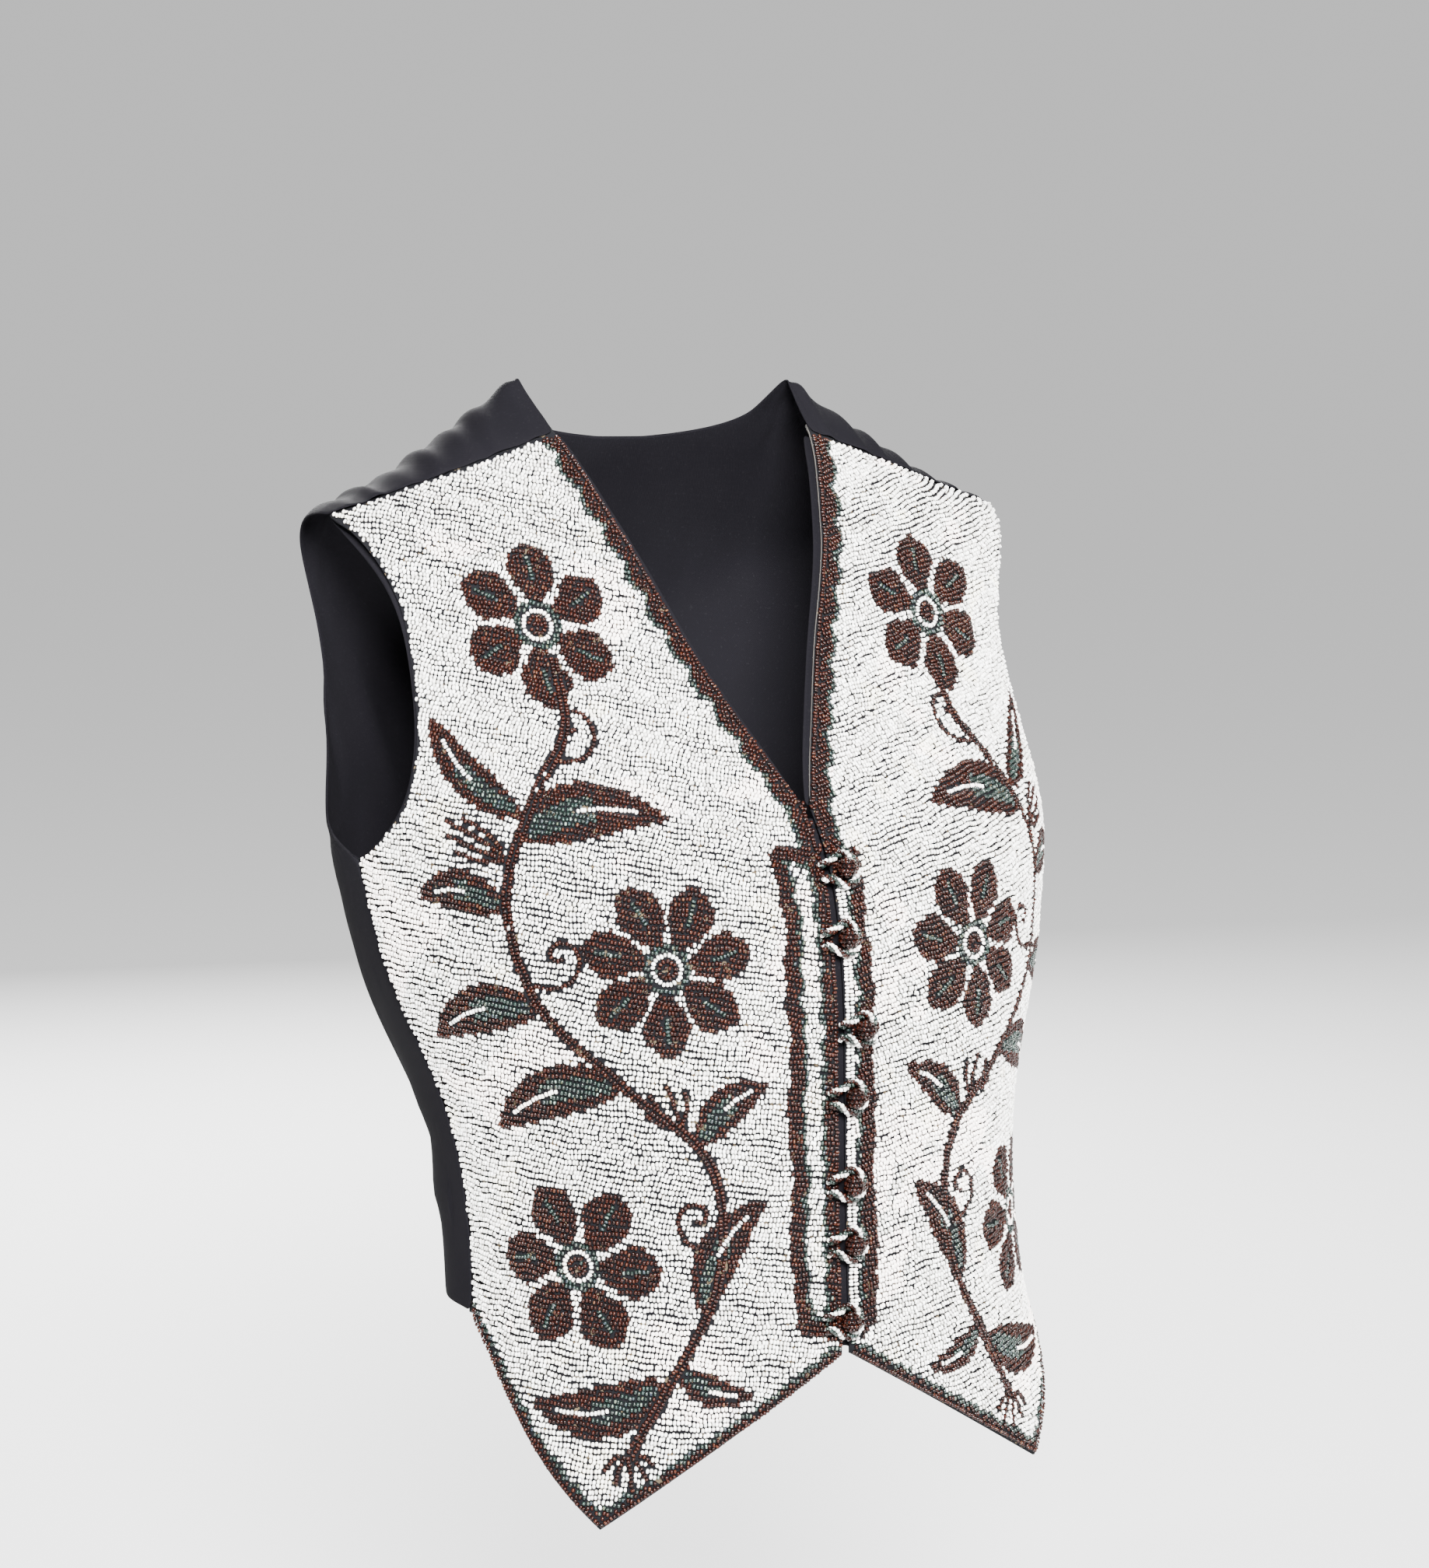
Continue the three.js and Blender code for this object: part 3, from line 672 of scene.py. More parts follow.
# %% Sockets that can be added up
class Wire:
    """An output socket of a node that can stand in a sum."""

    def __init__(self, finish, socket):
        self.finish = finish
        self.socket = socket

    def maths(self, operation, *values):
        return self.finish.node("ShaderNodeMath", {"operation": operation}, dict(enumerate(values)))[0]

    def __add__(self, other):
        return self.maths("ADD", self, other)

    def __sub__(self, other):
        return self.maths("SUBTRACT", self, other)

    def __rsub__(self, other):
        return self.maths("SUBTRACT", other, self)

    def __mul__(self, other):
        return self.maths("MULTIPLY", self, other)

    def __pow__(self, other):
        return self.maths("POWER", self, other)

    def __rpow__(self, other):
        return self.maths("POWER", other, self)

    def __gt__(self, other):
        return self.maths("GREATER_THAN", self, other)

    def __lt__(self, other):
        return self.maths("LESS_THAN", self, other)

    __radd__ = __add__
    __rmul__ = __mul__


class Finish:
    """A material whose nodes are added by one method."""

    def __init__(self, name, **constants):
        self.material = bpy.data.materials.new(name)
        self.material.use_nodes = True
        self.tree = self.material.node_tree
        self.shader = self.tree.nodes["Principled BSDF"]
        for socket, value in constants.items():
            self.shader.inputs[socket.replace("_", " ")].default_value = value

    def feed(self, socket, value):
        if isinstance(value, Wire):
            self.tree.links.new(value.socket, socket)
        else:
            socket.default_value = value

    def node(self, kind, settings=None, values=None):
        made = self.tree.nodes.new(kind)
        for key, value in (settings or {}).items():
            if key == "stops":
                while len(made.color_ramp.elements) < len(value):
                    made.color_ramp.elements.new(1.0)
                for element, (place, colour) in zip(made.color_ramp.elements, value):
                    element.position, element.color = place, (*colour, 1)
            else:
                setattr(made, key, value)
        for key, value in (values or {}).items():
            self.feed(made.inputs[key], value)
        return [Wire(self, output) for output in made.outputs]

    def mix(self, factor, first, second):
        """A mix of two colours, which go into sockets 6 and 7 of a Mix node and leave by number 2."""
        colours = {k: v if isinstance(v, Wire) else (*v, 1) for k, v in ((6, first), (7, second))}
        return self.node("ShaderNodeMix", {"data_type": "RGBA"}, {0: factor, **colours})[2]

    def position(self):
        """Where a point of the piece is, in metres."""
        return self.node("ShaderNodeTexCoord")[3]

    def noise(self, scale, detail=2.0):
        values = {"Vector": self.position(), "Scale": scale, "Detail": detail}
        return self.node("ShaderNodeTexNoise", None, values)[0]

    def threads(self, scale, direction):
        values = {"Vector": self.position(), "Scale": scale, "Distortion": 0.6, "Detail": 1.0}
        return self.node("ShaderNodeTexWave", {"bands_direction": direction}, values)[1]

    def tone(self):
        """A number between 0 and 1 given to each bead when sewn on, times painted shade at its ends and
        foot.
        """
        return self.node("ShaderNodeAttribute", {"attribute_name": "tone"})[2]

    def ramp(self, value, *stops):
        return self.node("ShaderNodeValToRGB", {"stops": stops}, {0: value})[0]

    def set(self, socket, value):
        self.feed(self.shader.inputs[socket], value)

    def bump(self, height, distance, strength=1.0):
        values = {"Height": height, "Distance": distance, "Strength": strength}
        self.set("Normal", self.node("ShaderNodeBump", None, values)[0])


print("signs that a wire understands: + - * ** > <")

# %% [markdown]
# ## Glass and cloth
# Three kinds of glass are on the fronts. The ivory beads are opaque and glossy, and some batches are
# faintly pink or yellow. The brown ones are clear and so dark that they look black until light gets
# into one, when it glows amber: each bead's own number picks its place on a ramp of such colours, so
# the amber of the brightest few is painted light. The green ones have a thin metal film on them that
# turns from green to teal, violet or old gold, and the pale top of their ramp is a painted glint.
# The cloth is a plain, closely woven wool that takes up nearly all the light.

# %% Glass
def ivory_glass():
    finish = Finish("ivory glass beads", Coat_Weight=0.35, Coat_Roughness=0.12, IOR=1.5)
    # Low values are the painted shade at the ends and feet of beads, which turns them dark brown-grey.
    ivory = finish.mix(finish.tone()**0.5, (0.10, 0.085, 0.06), (0.96, 0.955, 0.93))
    blush = finish.noise(21.0) > 0.60
    honey = finish.noise(34.0, 3.0) > 0.64
    tinted = finish.mix(blush * 0.7, ivory, (0.88, 0.79, 0.74))
    finish.set("Base Color", finish.mix(honey * 0.4, tinted, (0.82, 0.77, 0.62)))
    finish.set("Roughness", 0.34 - 0.14 * finish.tone())
    return finish.material


def brown_glass():
    finish = Finish("brown glass beads", Coat_Weight=0.22, Coat_Roughness=0.05, Specular_IOR_Level=0.06)
    # Low values hold the painted shade of ends and feet. The amber at the top is painted light, the glow
    # of light caught inside a bead.
    finish.set("Base Color", finish.ramp(
        finish.tone(),
        (0.00, (0.0014, 0.0005, 0.0003)),
        (0.35, (0.0080, 0.0014, 0.0007)),
        (0.85, (0.0180, 0.0034, 0.0016)),
        (0.97, (0.0330, 0.0095, 0.0042)),
        (1.00, (0.0750, 0.0340, 0.0160)),
    ))
    finish.set("Roughness", 0.22)
    return finish.material


def green_glass():
    finish = Finish("dark green glass beads", Coat_Weight=0.45, Coat_Roughness=0.06,
                    Specular_IOR_Level=0.2)
    # The green, teal, violet and gold are the metal film's own colours. The pale top stop is a painted
    # glint, and low values hold the painted shade of ends and feet.
    finish.set("Base Color", finish.ramp(
        finish.tone(),
        (0.00, (0.0025, 0.0045, 0.0040)),
        (0.45, (0.0060, 0.0120, 0.0090)),
        (0.68, (0.0110, 0.0260, 0.0210)),
        (0.78, (0.0110, 0.0120, 0.0250)),
        (0.90, (0.0400, 0.0450, 0.0190)),
        (1.00, (0.1700, 0.2200, 0.1900)),
    ))
    finish.set("Metallic", 0.2)
    finish.set("Roughness", 0.18)
    return finish.material


def black_wool():
    finish = Finish("black wool cloth", Specular_IOR_Level=0.03)
    lint = finish.noise(900.0, 3.0)
    broad = finish.noise(18.0, 3.0)
    colour = finish.mix(broad, (0.0024, 0.0022, 0.0030), (0.0044, 0.0041, 0.0053))
    finish.set("Base Color", finish.mix((lint > 0.66) * 0.35, colour, (0.0090, 0.0086, 0.0100)))
    finish.set("Roughness", 0.80 + 0.12 * lint)
    weave = finish.threads(900.0, "DIAGONAL") + finish.threads(700.0, "Z") * 0.7 + lint * 0.8
    finish.bump(weave, 0.00010, 0.50)
    return finish.material


def ground_cloth():
    finish = Finish("ground cloth under the beads", Specular_IOR_Level=0.1)
    thread = finish.noise(230.0, 3.0) > 0.66
    finish.set("Base Color", finish.mix(thread, (0.003, 0.003, 0.004), (0.070, 0.052, 0.032)))
    finish.set("Roughness", 0.9)
    finish.bump(finish.threads(800.0, "X") + finish.threads(800.0, "Z"), 0.0001)
    return finish.material


def cut_edge():
    finish = Finish("pale cut edge of the cloth", Roughness=0.9)
    finish.set("Base Color", finish.mix(finish.noise(120.0), (0.01, 0.01, 0.01), (0.085, 0.075, 0.065)))
    return finish.material


GLASS = {"ivory": ivory_glass(), "brown": brown_glass(), "green": green_glass()}
WOOL, GROUND, CUT_EDGE = black_wool(), ground_cloth(), cut_edge()
print("materials:", [m.name for m in bpy.data.materials])

# %% [markdown]
# ## From a place to a bead
# A seed bead is a short piece of glass tube, rounded by heat. On the cloth only its upper half can
# be seen, so a bead is drawn as half a barrel: four half hoops, the two in the middle widest, with
# the open side on the cloth. Numpy places thousands of copies at once. Each bead differs a little in
# size and tilt, and carries its own random tone. Painted shade darkens that tone at the bead's ends
# and at its foot, where little light gets in. It also has a patch of its own on the map that is used
# when the colours are baked.

# %% Bead meshes
# Painted shade: a bead's tone is darkened at its two end hoops and at its foot on the cloth.
END_SHADE, FOOT_SHADE, DULLEST = 0.12, 0.02, 0.20
TILT, UNEVEN = 0.20, 0.06


def hoops(rings, turns, closed):
    """Corners of a bead from its hoops (how far along the hole, how wide), its faces, patch and painted
    shade.
    """
    turns = np.radians(turns)
    sides, last = len(turns), len(rings) - 1
    spots = [(k, j, *rings[k], turns[j]) for k in range(last + 1) for j in range(sides)]
    corners = [(along, wide * math.cos(turn), wide * math.sin(turn)) for _, _, along, wide, turn in spots]
    patch = [(k / last, j / (sides - 1)) for k, j, *_ in spots]
    faces = [((k + 1) * sides + j, (k + 1) * sides + (j + 1) % sides,
              k * sides + (j + 1) % sides, k * sides + j)
             for k in range(last) for j in range(sides if closed else sides - 1)]
    shade = np.ones(len(spots))
    for number, (k, _, _, _, turn) in enumerate(spots):
        if k in (0, last):
            shade[number] *= END_SHADE
        if math.sin(turn) < 0 and not closed:
            shade[number] *= FOOT_SHADE
    return np.array(corners), np.array(faces), np.array(patch), shade


HALF_BARREL = hoops(((-0.5, 0.46), (-0.22, 1.04), (0.22, 1.04), (0.5, 0.46)), (-8, 50, 130, 188), False)
WHOLE_BARREL = hoops(((-0.5, 0.66), (0.0, 1.0), (0.5, 0.66)), (0, 60, 120, 180, 240, 300), True)


def placed(name, data):
    """A new object in the scene."""
    made = bpy.data.objects.new(name, data)
    bpy.context.scene.collection.objects.link(made)
    return made


def add_piece(name, mesh, slot, *materials):
    """A mesh becomes a piece of the gilet: it gets its materials and rides on the body. The slot is not
    used.
    """
    piece = placed(name, mesh)
    for material in materials:
        mesh.materials.append(material)
    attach(piece, "root")
    return piece


def bead_mesh(name, beads, template, radius=BEAD_RADIUS, length=BEAD_LENGTH, tilt=TILT):
    """One mesh of many beads from their middles, hole directions and up directions."""
    corners, faces, patch, shade = template
    count = len(beads["middle"])
    up = unit(beads["up"] + rng.normal(0, tilt, (count, 3)))
    axis = unit(beads["axis"] + rng.normal(0, tilt * 0.5, (count, 3)))
    up = unit(up - axis * (up * axis).sum(axis=1, keepdims=True))
    aside = np.cross(up, axis)
    wide = radius * rng.normal(1, UNEVEN, (count, 1))
    long = length * rng.normal(1, UNEVEN, (count, 1))
    points = (beads["middle"][:, None, :]
              + corners[None, :, 0, None] * (axis * long)[:, None, :]
              + corners[None, :, 1, None] * (aside * wide)[:, None, :]
              + corners[None, :, 2, None] * (up * wide)[:, None, :])
    quads = (np.arange(count) * len(corners))[:, None, None] + faces[None, :, :]
    mesh = bpy.data.meshes.new(name)
    mesh.from_pydata(points.reshape(-1, 3), [], quads.reshape(-1, 4).tolist())
    mesh.polygons.foreach_set("use_smooth", np.ones(len(mesh.polygons), bool))
    # Each bead's random tone, darkened by the painted shade of its ends and foot.
    tones_and_painted_shade = (rng.uniform(DULLEST, 1, (count, 1)) * shade).astype(np.float32)
    mesh.attributes.new("tone", "FLOAT", "POINT").data.foreach_set("value", tones_and_painted_shade.ravel())
    lay_out_patches(mesh, count, patch, faces)
    return mesh


def lay_out_patches(mesh, count, patch, faces):
    """A map in which every bead has a small square of its own."""
    across = math.ceil(math.sqrt(count))
    cells = np.stack([np.arange(count) % across, np.arange(count) // across], axis=1)
    margin = 0.08
    corner_places = margin + patch[faces.reshape(-1)] * (1 - 2 * margin)
    places = (cells[:, None, :] + corner_places[None, :, :]) / across
    layer = mesh.uv_layers.new(name="OFBake")
    layer.data.foreach_set("uv", places.reshape(-1).astype(np.float32))


def split_by_height(beads, levels):
    """The beads in bands from top to bottom, so that no one piece gets too many."""
    bounds = [1.0, *levels, -1.0]
    height = beads["middle"][:, 2]
    return [kept(beads, (height <= top) & (height > low)) for top, low in zip(bounds, bounds[1:])]


BAND_NAMES, BAND_LEVELS = ("upper", "lower"), (-0.27,)
for side, sewn in beads_of.items():
    for band, beads in zip(BAND_NAMES, split_by_height(sewn["ivory"], BAND_LEVELS)):
        name = f"{SIDE_NAMES[side]}_{band}_ivory_beads"
        add_piece(name, bead_mesh(name, beads, HALF_BARREL), "ivory_beads", GLASS["ivory"])
        print(name, len(beads["middle"]), "beads")
    for colour in ("brown", "green"):
        name = f"{SIDE_NAMES[side]}_{colour}_beads"
        add_piece(name, bead_mesh(name, sewn[colour], HALF_BARREL), "brown_beads", GLASS[colour])

# %% [markdown]
# ## The cloth of the fronts
# Under the beads lies the cloth they are sewn to. It is a thin shell: a grid of points is blended
# between the four edges of the front, and the shell's two faces are that grid moved to the outer and
# the inner side of the cloth. Its outside is the ground for the beads, its inside the black cloth.

# %% Front cloth
CLOTH_OUTER, CLOTH_INNER, SEAM_ALLOWANCE = -0.0021, -0.0032, 0.004
CLOSING_ROWS, SIDE_ROWS = 52, 46


def resampled(line, count):
    """A line with a number of points at equal distances."""
    along = length_along(line)
    return read_off(np.linspace(0, along[-1], count), along, line)


def joined(first, first_count, second, second_count):
    return np.concatenate([resampled(first, first_count)[:-1], resampled(second, second_count)])


def blended(bottom, top, near, far):
    """A grid of places between four edges that meet at their ends."""
    u = np.linspace(0, 1, len(bottom))[None, :, None]
    v = np.linspace(0, 1, len(near))[:, None, None]
    along = bottom[None] * (1 - v) + top[None] * v
    across = near[:, None] * (1 - u) + far[:, None] * u
    corners = ((bottom[0] * (1 - u) + bottom[-1] * u) * (1 - v) + (top[0] * (1 - u) + top[-1] * u) * v)
    return along + across - corners


def shell(name, outer, inner, near_pale):
    """A closed thin mesh between two grids of points, with narrow walls round its rim. The walls
    of the near edge are pale, but for a number of them at its bottom end."""
    rows, columns, _ = outer.shape
    number = np.arange(rows * columns).reshape(rows, columns)
    cells = np.stack([number[:-1, :-1], number[:-1, 1:], number[1:, 1:], number[1:, :-1]], axis=-1)
    cells = cells.reshape(-1, 4)
    rim = np.concatenate([number[0, :-1], number[:-1, -1], number[-1, :0:-1], number[:0:-1, 0]])
    shift = rows * columns
    ahead = np.roll(rim, -1)
    walls = np.stack([ahead, rim, rim + shift, ahead + shift], axis=1)
    faces = np.concatenate([cells, cells[:, ::-1] + shift, walls])
    points = np.concatenate([outer.reshape(-1, 3), inner.reshape(-1, 3)])
    mesh = bpy.data.meshes.new(name)
    mesh.from_pydata(points, [], faces.tolist())
    slots = np.concatenate([np.zeros(len(cells)), np.ones(len(cells) + len(walls))])
    slots[len(slots) - rows + 1:len(slots) - near_pale] = 2
    mesh.polygons.foreach_set("material_index", slots.astype(np.int32))
    mesh.polygons.foreach_set("use_smooth", np.ones(len(faces), bool))
    turn_outward(mesh)
    return mesh


def turn_outward(mesh):
    work = bmesh.new()
    work.from_mesh(mesh)
    bmesh.ops.recalc_face_normals(work, faces=work.faces)
    work.to_mesh(mesh)
    work.free()


front_places = blended(
    joined(hem_inner, 36, hem_outer, 28),
    resampled(shoulder, 63),
    joined(closing, CLOSING_ROWS, neckline, 96 - CLOSING_ROWS),
    joined(side_seam, SIDE_ROWS, armhole, 96 - SIDE_ROWS),
)
# Seam allowances: a last row and a last column that run on a little way under the back. Along the
# armhole, where no back joins, the column is only a hair's breadth wide.
shoulder_row = front_places[-1] + (0, SEAM_ALLOWANCE)
shoulder_row[:, 0] = mix(shoulder_row[:, 0].mean(), shoulder_row[:, 0], 0.985)
front_places = np.concatenate([front_places, shoulder_row[None]])
reach = np.interp(np.arange(len(front_places)), (SIDE_ROWS - 5, SIDE_ROWS), (SEAM_ALLOWANCE, 0.0003))
side_column = front_places[:, -1] + np.stack([reach, 0 * reach], axis=1)
front_places = np.concatenate([front_places, side_column[:, None]], axis=1)
for side, side_name in SIDE_NAMES.items():
    grids = [on_front(side, front_places[..., 0], front_places[..., 1], out)[0]
             for out in (CLOTH_OUTER, CLOTH_INNER)]
    mesh = shell(f"{side_name}_front_cloth", *grids, CLOSING_ROWS)
    cloth = add_piece(f"{side_name}_front_cloth", mesh, "black_cloth", GROUND, WOOL, CUT_EDGE)
    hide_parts(f"{side_name}_front")
    print(cloth.name, "faces:", len(mesh.polygons))

# %% [markdown]
# ## The back and the narrow facings
# The back is one piece of plain cloth. Its solid already has the gathers over the shoulders, but in
# flat facets, so a copy of it is smoothed: its triangles are paired into four-sided faces, and a
# subdivision surface rounds them. Then two things are added. The gathers are made crisper
# near the shoulder line. Soft creases are drawn as short lines that the cloth follows inwards or
# outwards, deepest in the middle and dying away at both ends; they are placed on a chart of the
# back, as the beads were on the front.

# %% Cloth from a solid
BACK_CREASES = (
    # start, end (across from the middle of the back, height), depth (inwards is negative), width
    ((0.225, -0.215), (0.120, -0.285), -0.0026, 0.0085),
    ((0.232, -0.240), (0.140, -0.318), 0.0020, 0.0080),
    ((0.215, -0.330), (0.080, -0.352), -0.0024, 0.0080),
    ((0.220, -0.352), (0.060, -0.378), 0.0018, 0.0080),
    ((0.190, -0.374), (0.120, -0.386), -0.0016, 0.0070),
    ((-0.228, -0.222), (-0.115, -0.276), -0.0025, 0.0090),
    ((-0.230, -0.250), (-0.150, -0.330), 0.0019, 0.0080),
    ((-0.210, -0.336), (-0.070, -0.346), -0.0023, 0.0085),
    ((-0.222, -0.360), (-0.080, -0.368), 0.0017, 0.0080),
    ((0.060, -0.345), (-0.070, -0.338), -0.0015, 0.0090),
    ((0.150, -0.120), (0.110, -0.215), -0.0020, 0.0085),
    ((-0.148, -0.128), (-0.105, -0.205), -0.0019, 0.0085),
    ((0.012, -0.090), (0.004, -0.240), -0.0012, 0.0100),
    ((0.200, -0.130), (0.160, -0.185), 0.0016, 0.0075),
    ((-0.198, -0.135), (-0.166, -0.190), 0.0015, 0.0075),
)
RIDGE_INNER, RIDGE_OUTER, GATHER_COUNT = 0.0708, 0.1725, 7
GATHER_HEIGHT, GATHER_SHARPNESS, GATHER_REACH = 0.0009, 1.5, 0.034
GATHER_TROUGH, GATHER_DRIFT, GATHER_UNEVEN = 0.3, 0.018, 0.8
# The feet of the armholes are corners, where a crease keeps the rounding away.
ARMHOLE_FEET = [Vector(figure(SIDE_ANGLE, ARMHOLE_BOTTOM) * (side, 1, 1)) for side in (1, -1)]
CORNER_REACH = 0.005
ROUNDING = 2


def back_chart(points):
    """Places on the chart of the back: how far across from its middle, and how high."""
    x, y, z = points.T
    turn = angle_at(x, z)
    turn = np.where(y > centre(z), turn, -turn)
    return np.stack([np.sign(x) * (math.pi / 2 - turn) * half_width(z), z], axis=1)


def crease_lift(places):
    """How far every crease together moves the cloth outwards at each place."""
    lift = np.zeros(len(places))
    for start, end, depth, width in BACK_CREASES:
        start, way = np.array(start), np.array(end) - np.array(start)
        along = np.clip((places - start) @ way / (way @ way), 0, 1)
        apart = np.linalg.norm(places - start - along[:, None] * way, axis=1)
        lift += depth * np.sin(math.pi * along)**0.7 * np.exp(-(apart / width)**2)
    return lift


def gather_lift(points):
    """Crests that follow the solid's own gathers and die away below the shoulder line."""
    heights = np.linspace(-0.072, 0.0, 80)
    across = np.abs(points[:, 0])
    ridge = np.interp(across, half_width(heights)[::-1], heights[::-1])
    part = np.clip((across - RIDGE_INNER) / (RIDGE_OUTER - RIDGE_INNER), 0, 1)
    turn = 2 * math.pi * GATHER_COUNT * (part + GATHER_DRIFT * np.sin(17 * part))
    crest = (0.5 - 0.5 * np.cos(turn))**GATHER_SHARPNESS
    uneven = 1 + GATHER_UNEVEN * np.sin(23 * part * np.sign(points[:, 0]) + 1.1)
    fade = np.exp(-((ridge - points[:, 2]) / GATHER_REACH)**2)
    return GATHER_HEIGHT * (crest - GATHER_TROUGH) * uneven * (part > 0) * fade


def smoothed_copy(node):
    """A new mesh on the form of a solid: faces paired, then rounded by subdivision."""
    work = bmesh.new()
    work.from_mesh(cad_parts[node].data)
    bmesh.ops.remove_doubles(work, verts=work.verts, dist=1e-6)
    bmesh.ops.join_triangles(work, faces=work.faces, angle_face_threshold=math.radians(50),
                             angle_shape_threshold=math.radians(70))
    sharp = work.verts.layers.float.new("crease_vert")
    for corner in work.verts:
        if min((corner.co - foot).length for foot in ARMHOLE_FEET) < CORNER_REACH:
            corner[sharp] = 1.0
    rough = bpy.data.meshes.new(node + "_rough")
    work.to_mesh(rough)
    work.free()
    holder = placed(node + "_rough", rough)
    rounding = holder.modifiers.new("round", "SUBSURF")
    rounding.levels = rounding.render_levels = ROUNDING
    bpy.context.view_layer.update()
    mesh = bpy.data.meshes.new_from_object(holder.evaluated_get(bpy.context.evaluated_depsgraph_get()))
    bpy.data.objects.remove(holder)
    mesh.materials.clear()
    mesh.polygons.foreach_set("use_smooth", np.ones(len(mesh.polygons), bool))
    return mesh


def mesh_arrays(mesh):
    """Corner points of a mesh and the directions straight out of it there."""
    points, normals = np.empty(len(mesh.vertices) * 3), np.empty(len(mesh.vertices) * 3)
    mesh.vertices.foreach_get("co", points)
    mesh.vertices.foreach_get("normal", normals)
    return points.reshape(-1, 3), normals.reshape(-1, 3)


back_mesh = smoothed_copy("back")
points, normals = mesh_arrays(back_mesh)
# Both faces of the cloth move the same way, so the normals of the inner face are turned round.
from_axis = points - np.stack([0 * points[:, 0], centre(points[:, 2]), points[:, 2] - 0.01], axis=1)
outer_way = normals * np.sign((normals * from_axis).sum(axis=1, keepdims=True))
lift = crease_lift(back_chart(points)) + gather_lift(points)
back_mesh.vertices.foreach_set("co", (points + outer_way * lift[:, None]).ravel())
back_mesh.update()
back = add_piece("back_cloth", back_mesh, "black_cloth", WOOL)
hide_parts("back")
print("back faces:", len(back_mesh.polygons), "moved by up to", round(float(np.abs(lift).max()), 4))

# %% [markdown]
# ## Facings and underlap
# A facing is a narrow strip that finishes an edge from behind, and a hair's breadth of it shows
# beyond the beads. The underlap is a wider strip behind the closing, which keeps the gap between the
# two fronts dark. All are plain strips, so a smoothed copy of each solid is enough.

# %% Facings and underlap
STRIPS = (
    # piece, cut width, cut length, cut area
    ("right_neck_facing", 0.0131, 0.195, 0.00255),
    ("left_neck_facing", 0.0131, 0.195, 0.00255),
    ("right_armhole_facing", 0.0100, 0.160, 0.00133),
    ("left_armhole_facing", 0.0100, 0.160, 0.00133),
    ("underlap", 0.0262, 0.228, 0.00597),
)
for node, wide, long, area in STRIPS:
    mesh = smoothed_copy(node)
    strip = add_piece(node + "_cloth", mesh, "black_cloth", WOOL)
    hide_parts(node)
    print(node, "surface:", round(sum(p.area for p in mesh.polygons) / 2, 5), "cut:", area)

# %% [markdown]
# ## Ball buttons
# Each button is a small ball wound with brown beads, sewn to the edge of the left front. Its place
# and its size come from its solid. Whole barrels are laid on it in rings, as the maker's thread goes
# round, and a plain ball inside fills the gaps between them.

# %% Buttons
BALL_BEAD_RADIUS, BALL_BEAD_LENGTH, BALL_TILT = 0.00100, 0.00155, 0.25
RINGS_CLOSE, BALL_BEADS_APART, RING_TURN, BALL_CORE = 0.95, 1.06, 0.37, 1.5


def beads_round_ball(middle, radius):
    """Rings of beads on a ball, each ring turned a little so that no seams line up."""
    core = radius - BALL_BEAD_RADIUS
    found = {"middle": [], "up": [], "axis": []}
    levels = int(math.pi * core / (2 * BALL_BEAD_RADIUS * RINGS_CLOSE))
    for level in range(levels):
        rise = math.pi * ((level + 0.5) / levels - 0.5)
        count = max(int(2 * math.pi * core * math.cos(rise) / (BALL_BEAD_LENGTH * BALL_BEADS_APART)), 1)
        for k in range(count):
            turn = 2 * math.pi * (k + RING_TURN * level) / count
            up = np.array([math.cos(rise) * math.cos(turn), math.cos(rise) * math.sin(turn),
                           math.sin(rise)])
            found["up"].append(up)
            found["middle"].append(middle + core * up)
            found["axis"].append(np.array([-math.sin(turn), math.cos(turn), 0.0]))
    return {key: np.array(value) for key, value in found.items()}


def core_ball(middle, radius):
    work = bmesh.new()
    bmesh.ops.create_icosphere(work, subdivisions=2, radius=radius)
    bmesh.ops.translate(work, verts=work.verts, vec=Vector(middle))
    mesh = bpy.data.meshes.new("core")
    work.to_mesh(mesh)
    work.free()
    mesh.polygons.foreach_set("use_smooth", np.ones(len(mesh.polygons), bool))
    return mesh


def joined_piece(name, pieces):
    """Several meshes with their materials become one piece."""
    made = []
    for mesh, material in pieces:
        mesh.materials.append(material)
        made.append(placed(name, mesh))
    with bpy.context.temp_override(active_object=made[0], selected_editable_objects=made):
        bpy.ops.object.join()
    made[0].name = name
    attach(made[0], "root")
    return made[0]


ball_radius = 0.0
for k in range(1, len(BUTTON_PLACES) + 1):
    low, high = (np.array(corner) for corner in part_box(f"button_{k}"))
    middle, ball_radius = (low + high) / 2, float((high - low).max() / 2)
    beads = beads_round_ball(middle, ball_radius)
    mesh = bead_mesh(f"ball_{k}", beads, WHOLE_BARREL, BALL_BEAD_RADIUS, BALL_BEAD_LENGTH, BALL_TILT)
    core = core_ball(middle, ball_radius - BALL_CORE * BALL_BEAD_RADIUS)
    button = joined_piece(f"beaded_button_{k}", [(mesh, GLASS["brown"]), (core, GROUND)])
    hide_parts(f"button_{k}")
print("ball radius:", round(ball_radius, 5), "beads on a ball:", len(beads["middle"]))

# %% [markdown]
# ## Loops of beaded rope
# Each loop is a rope of three strands, ivory, brown and green, wound round a core at a slant, so
# that the ivory one shows as short slanting stripes. The rope's path repeats the one of its solid:
# flat on the right front, then round the ball and back. Beads are strung along each strand's helix.

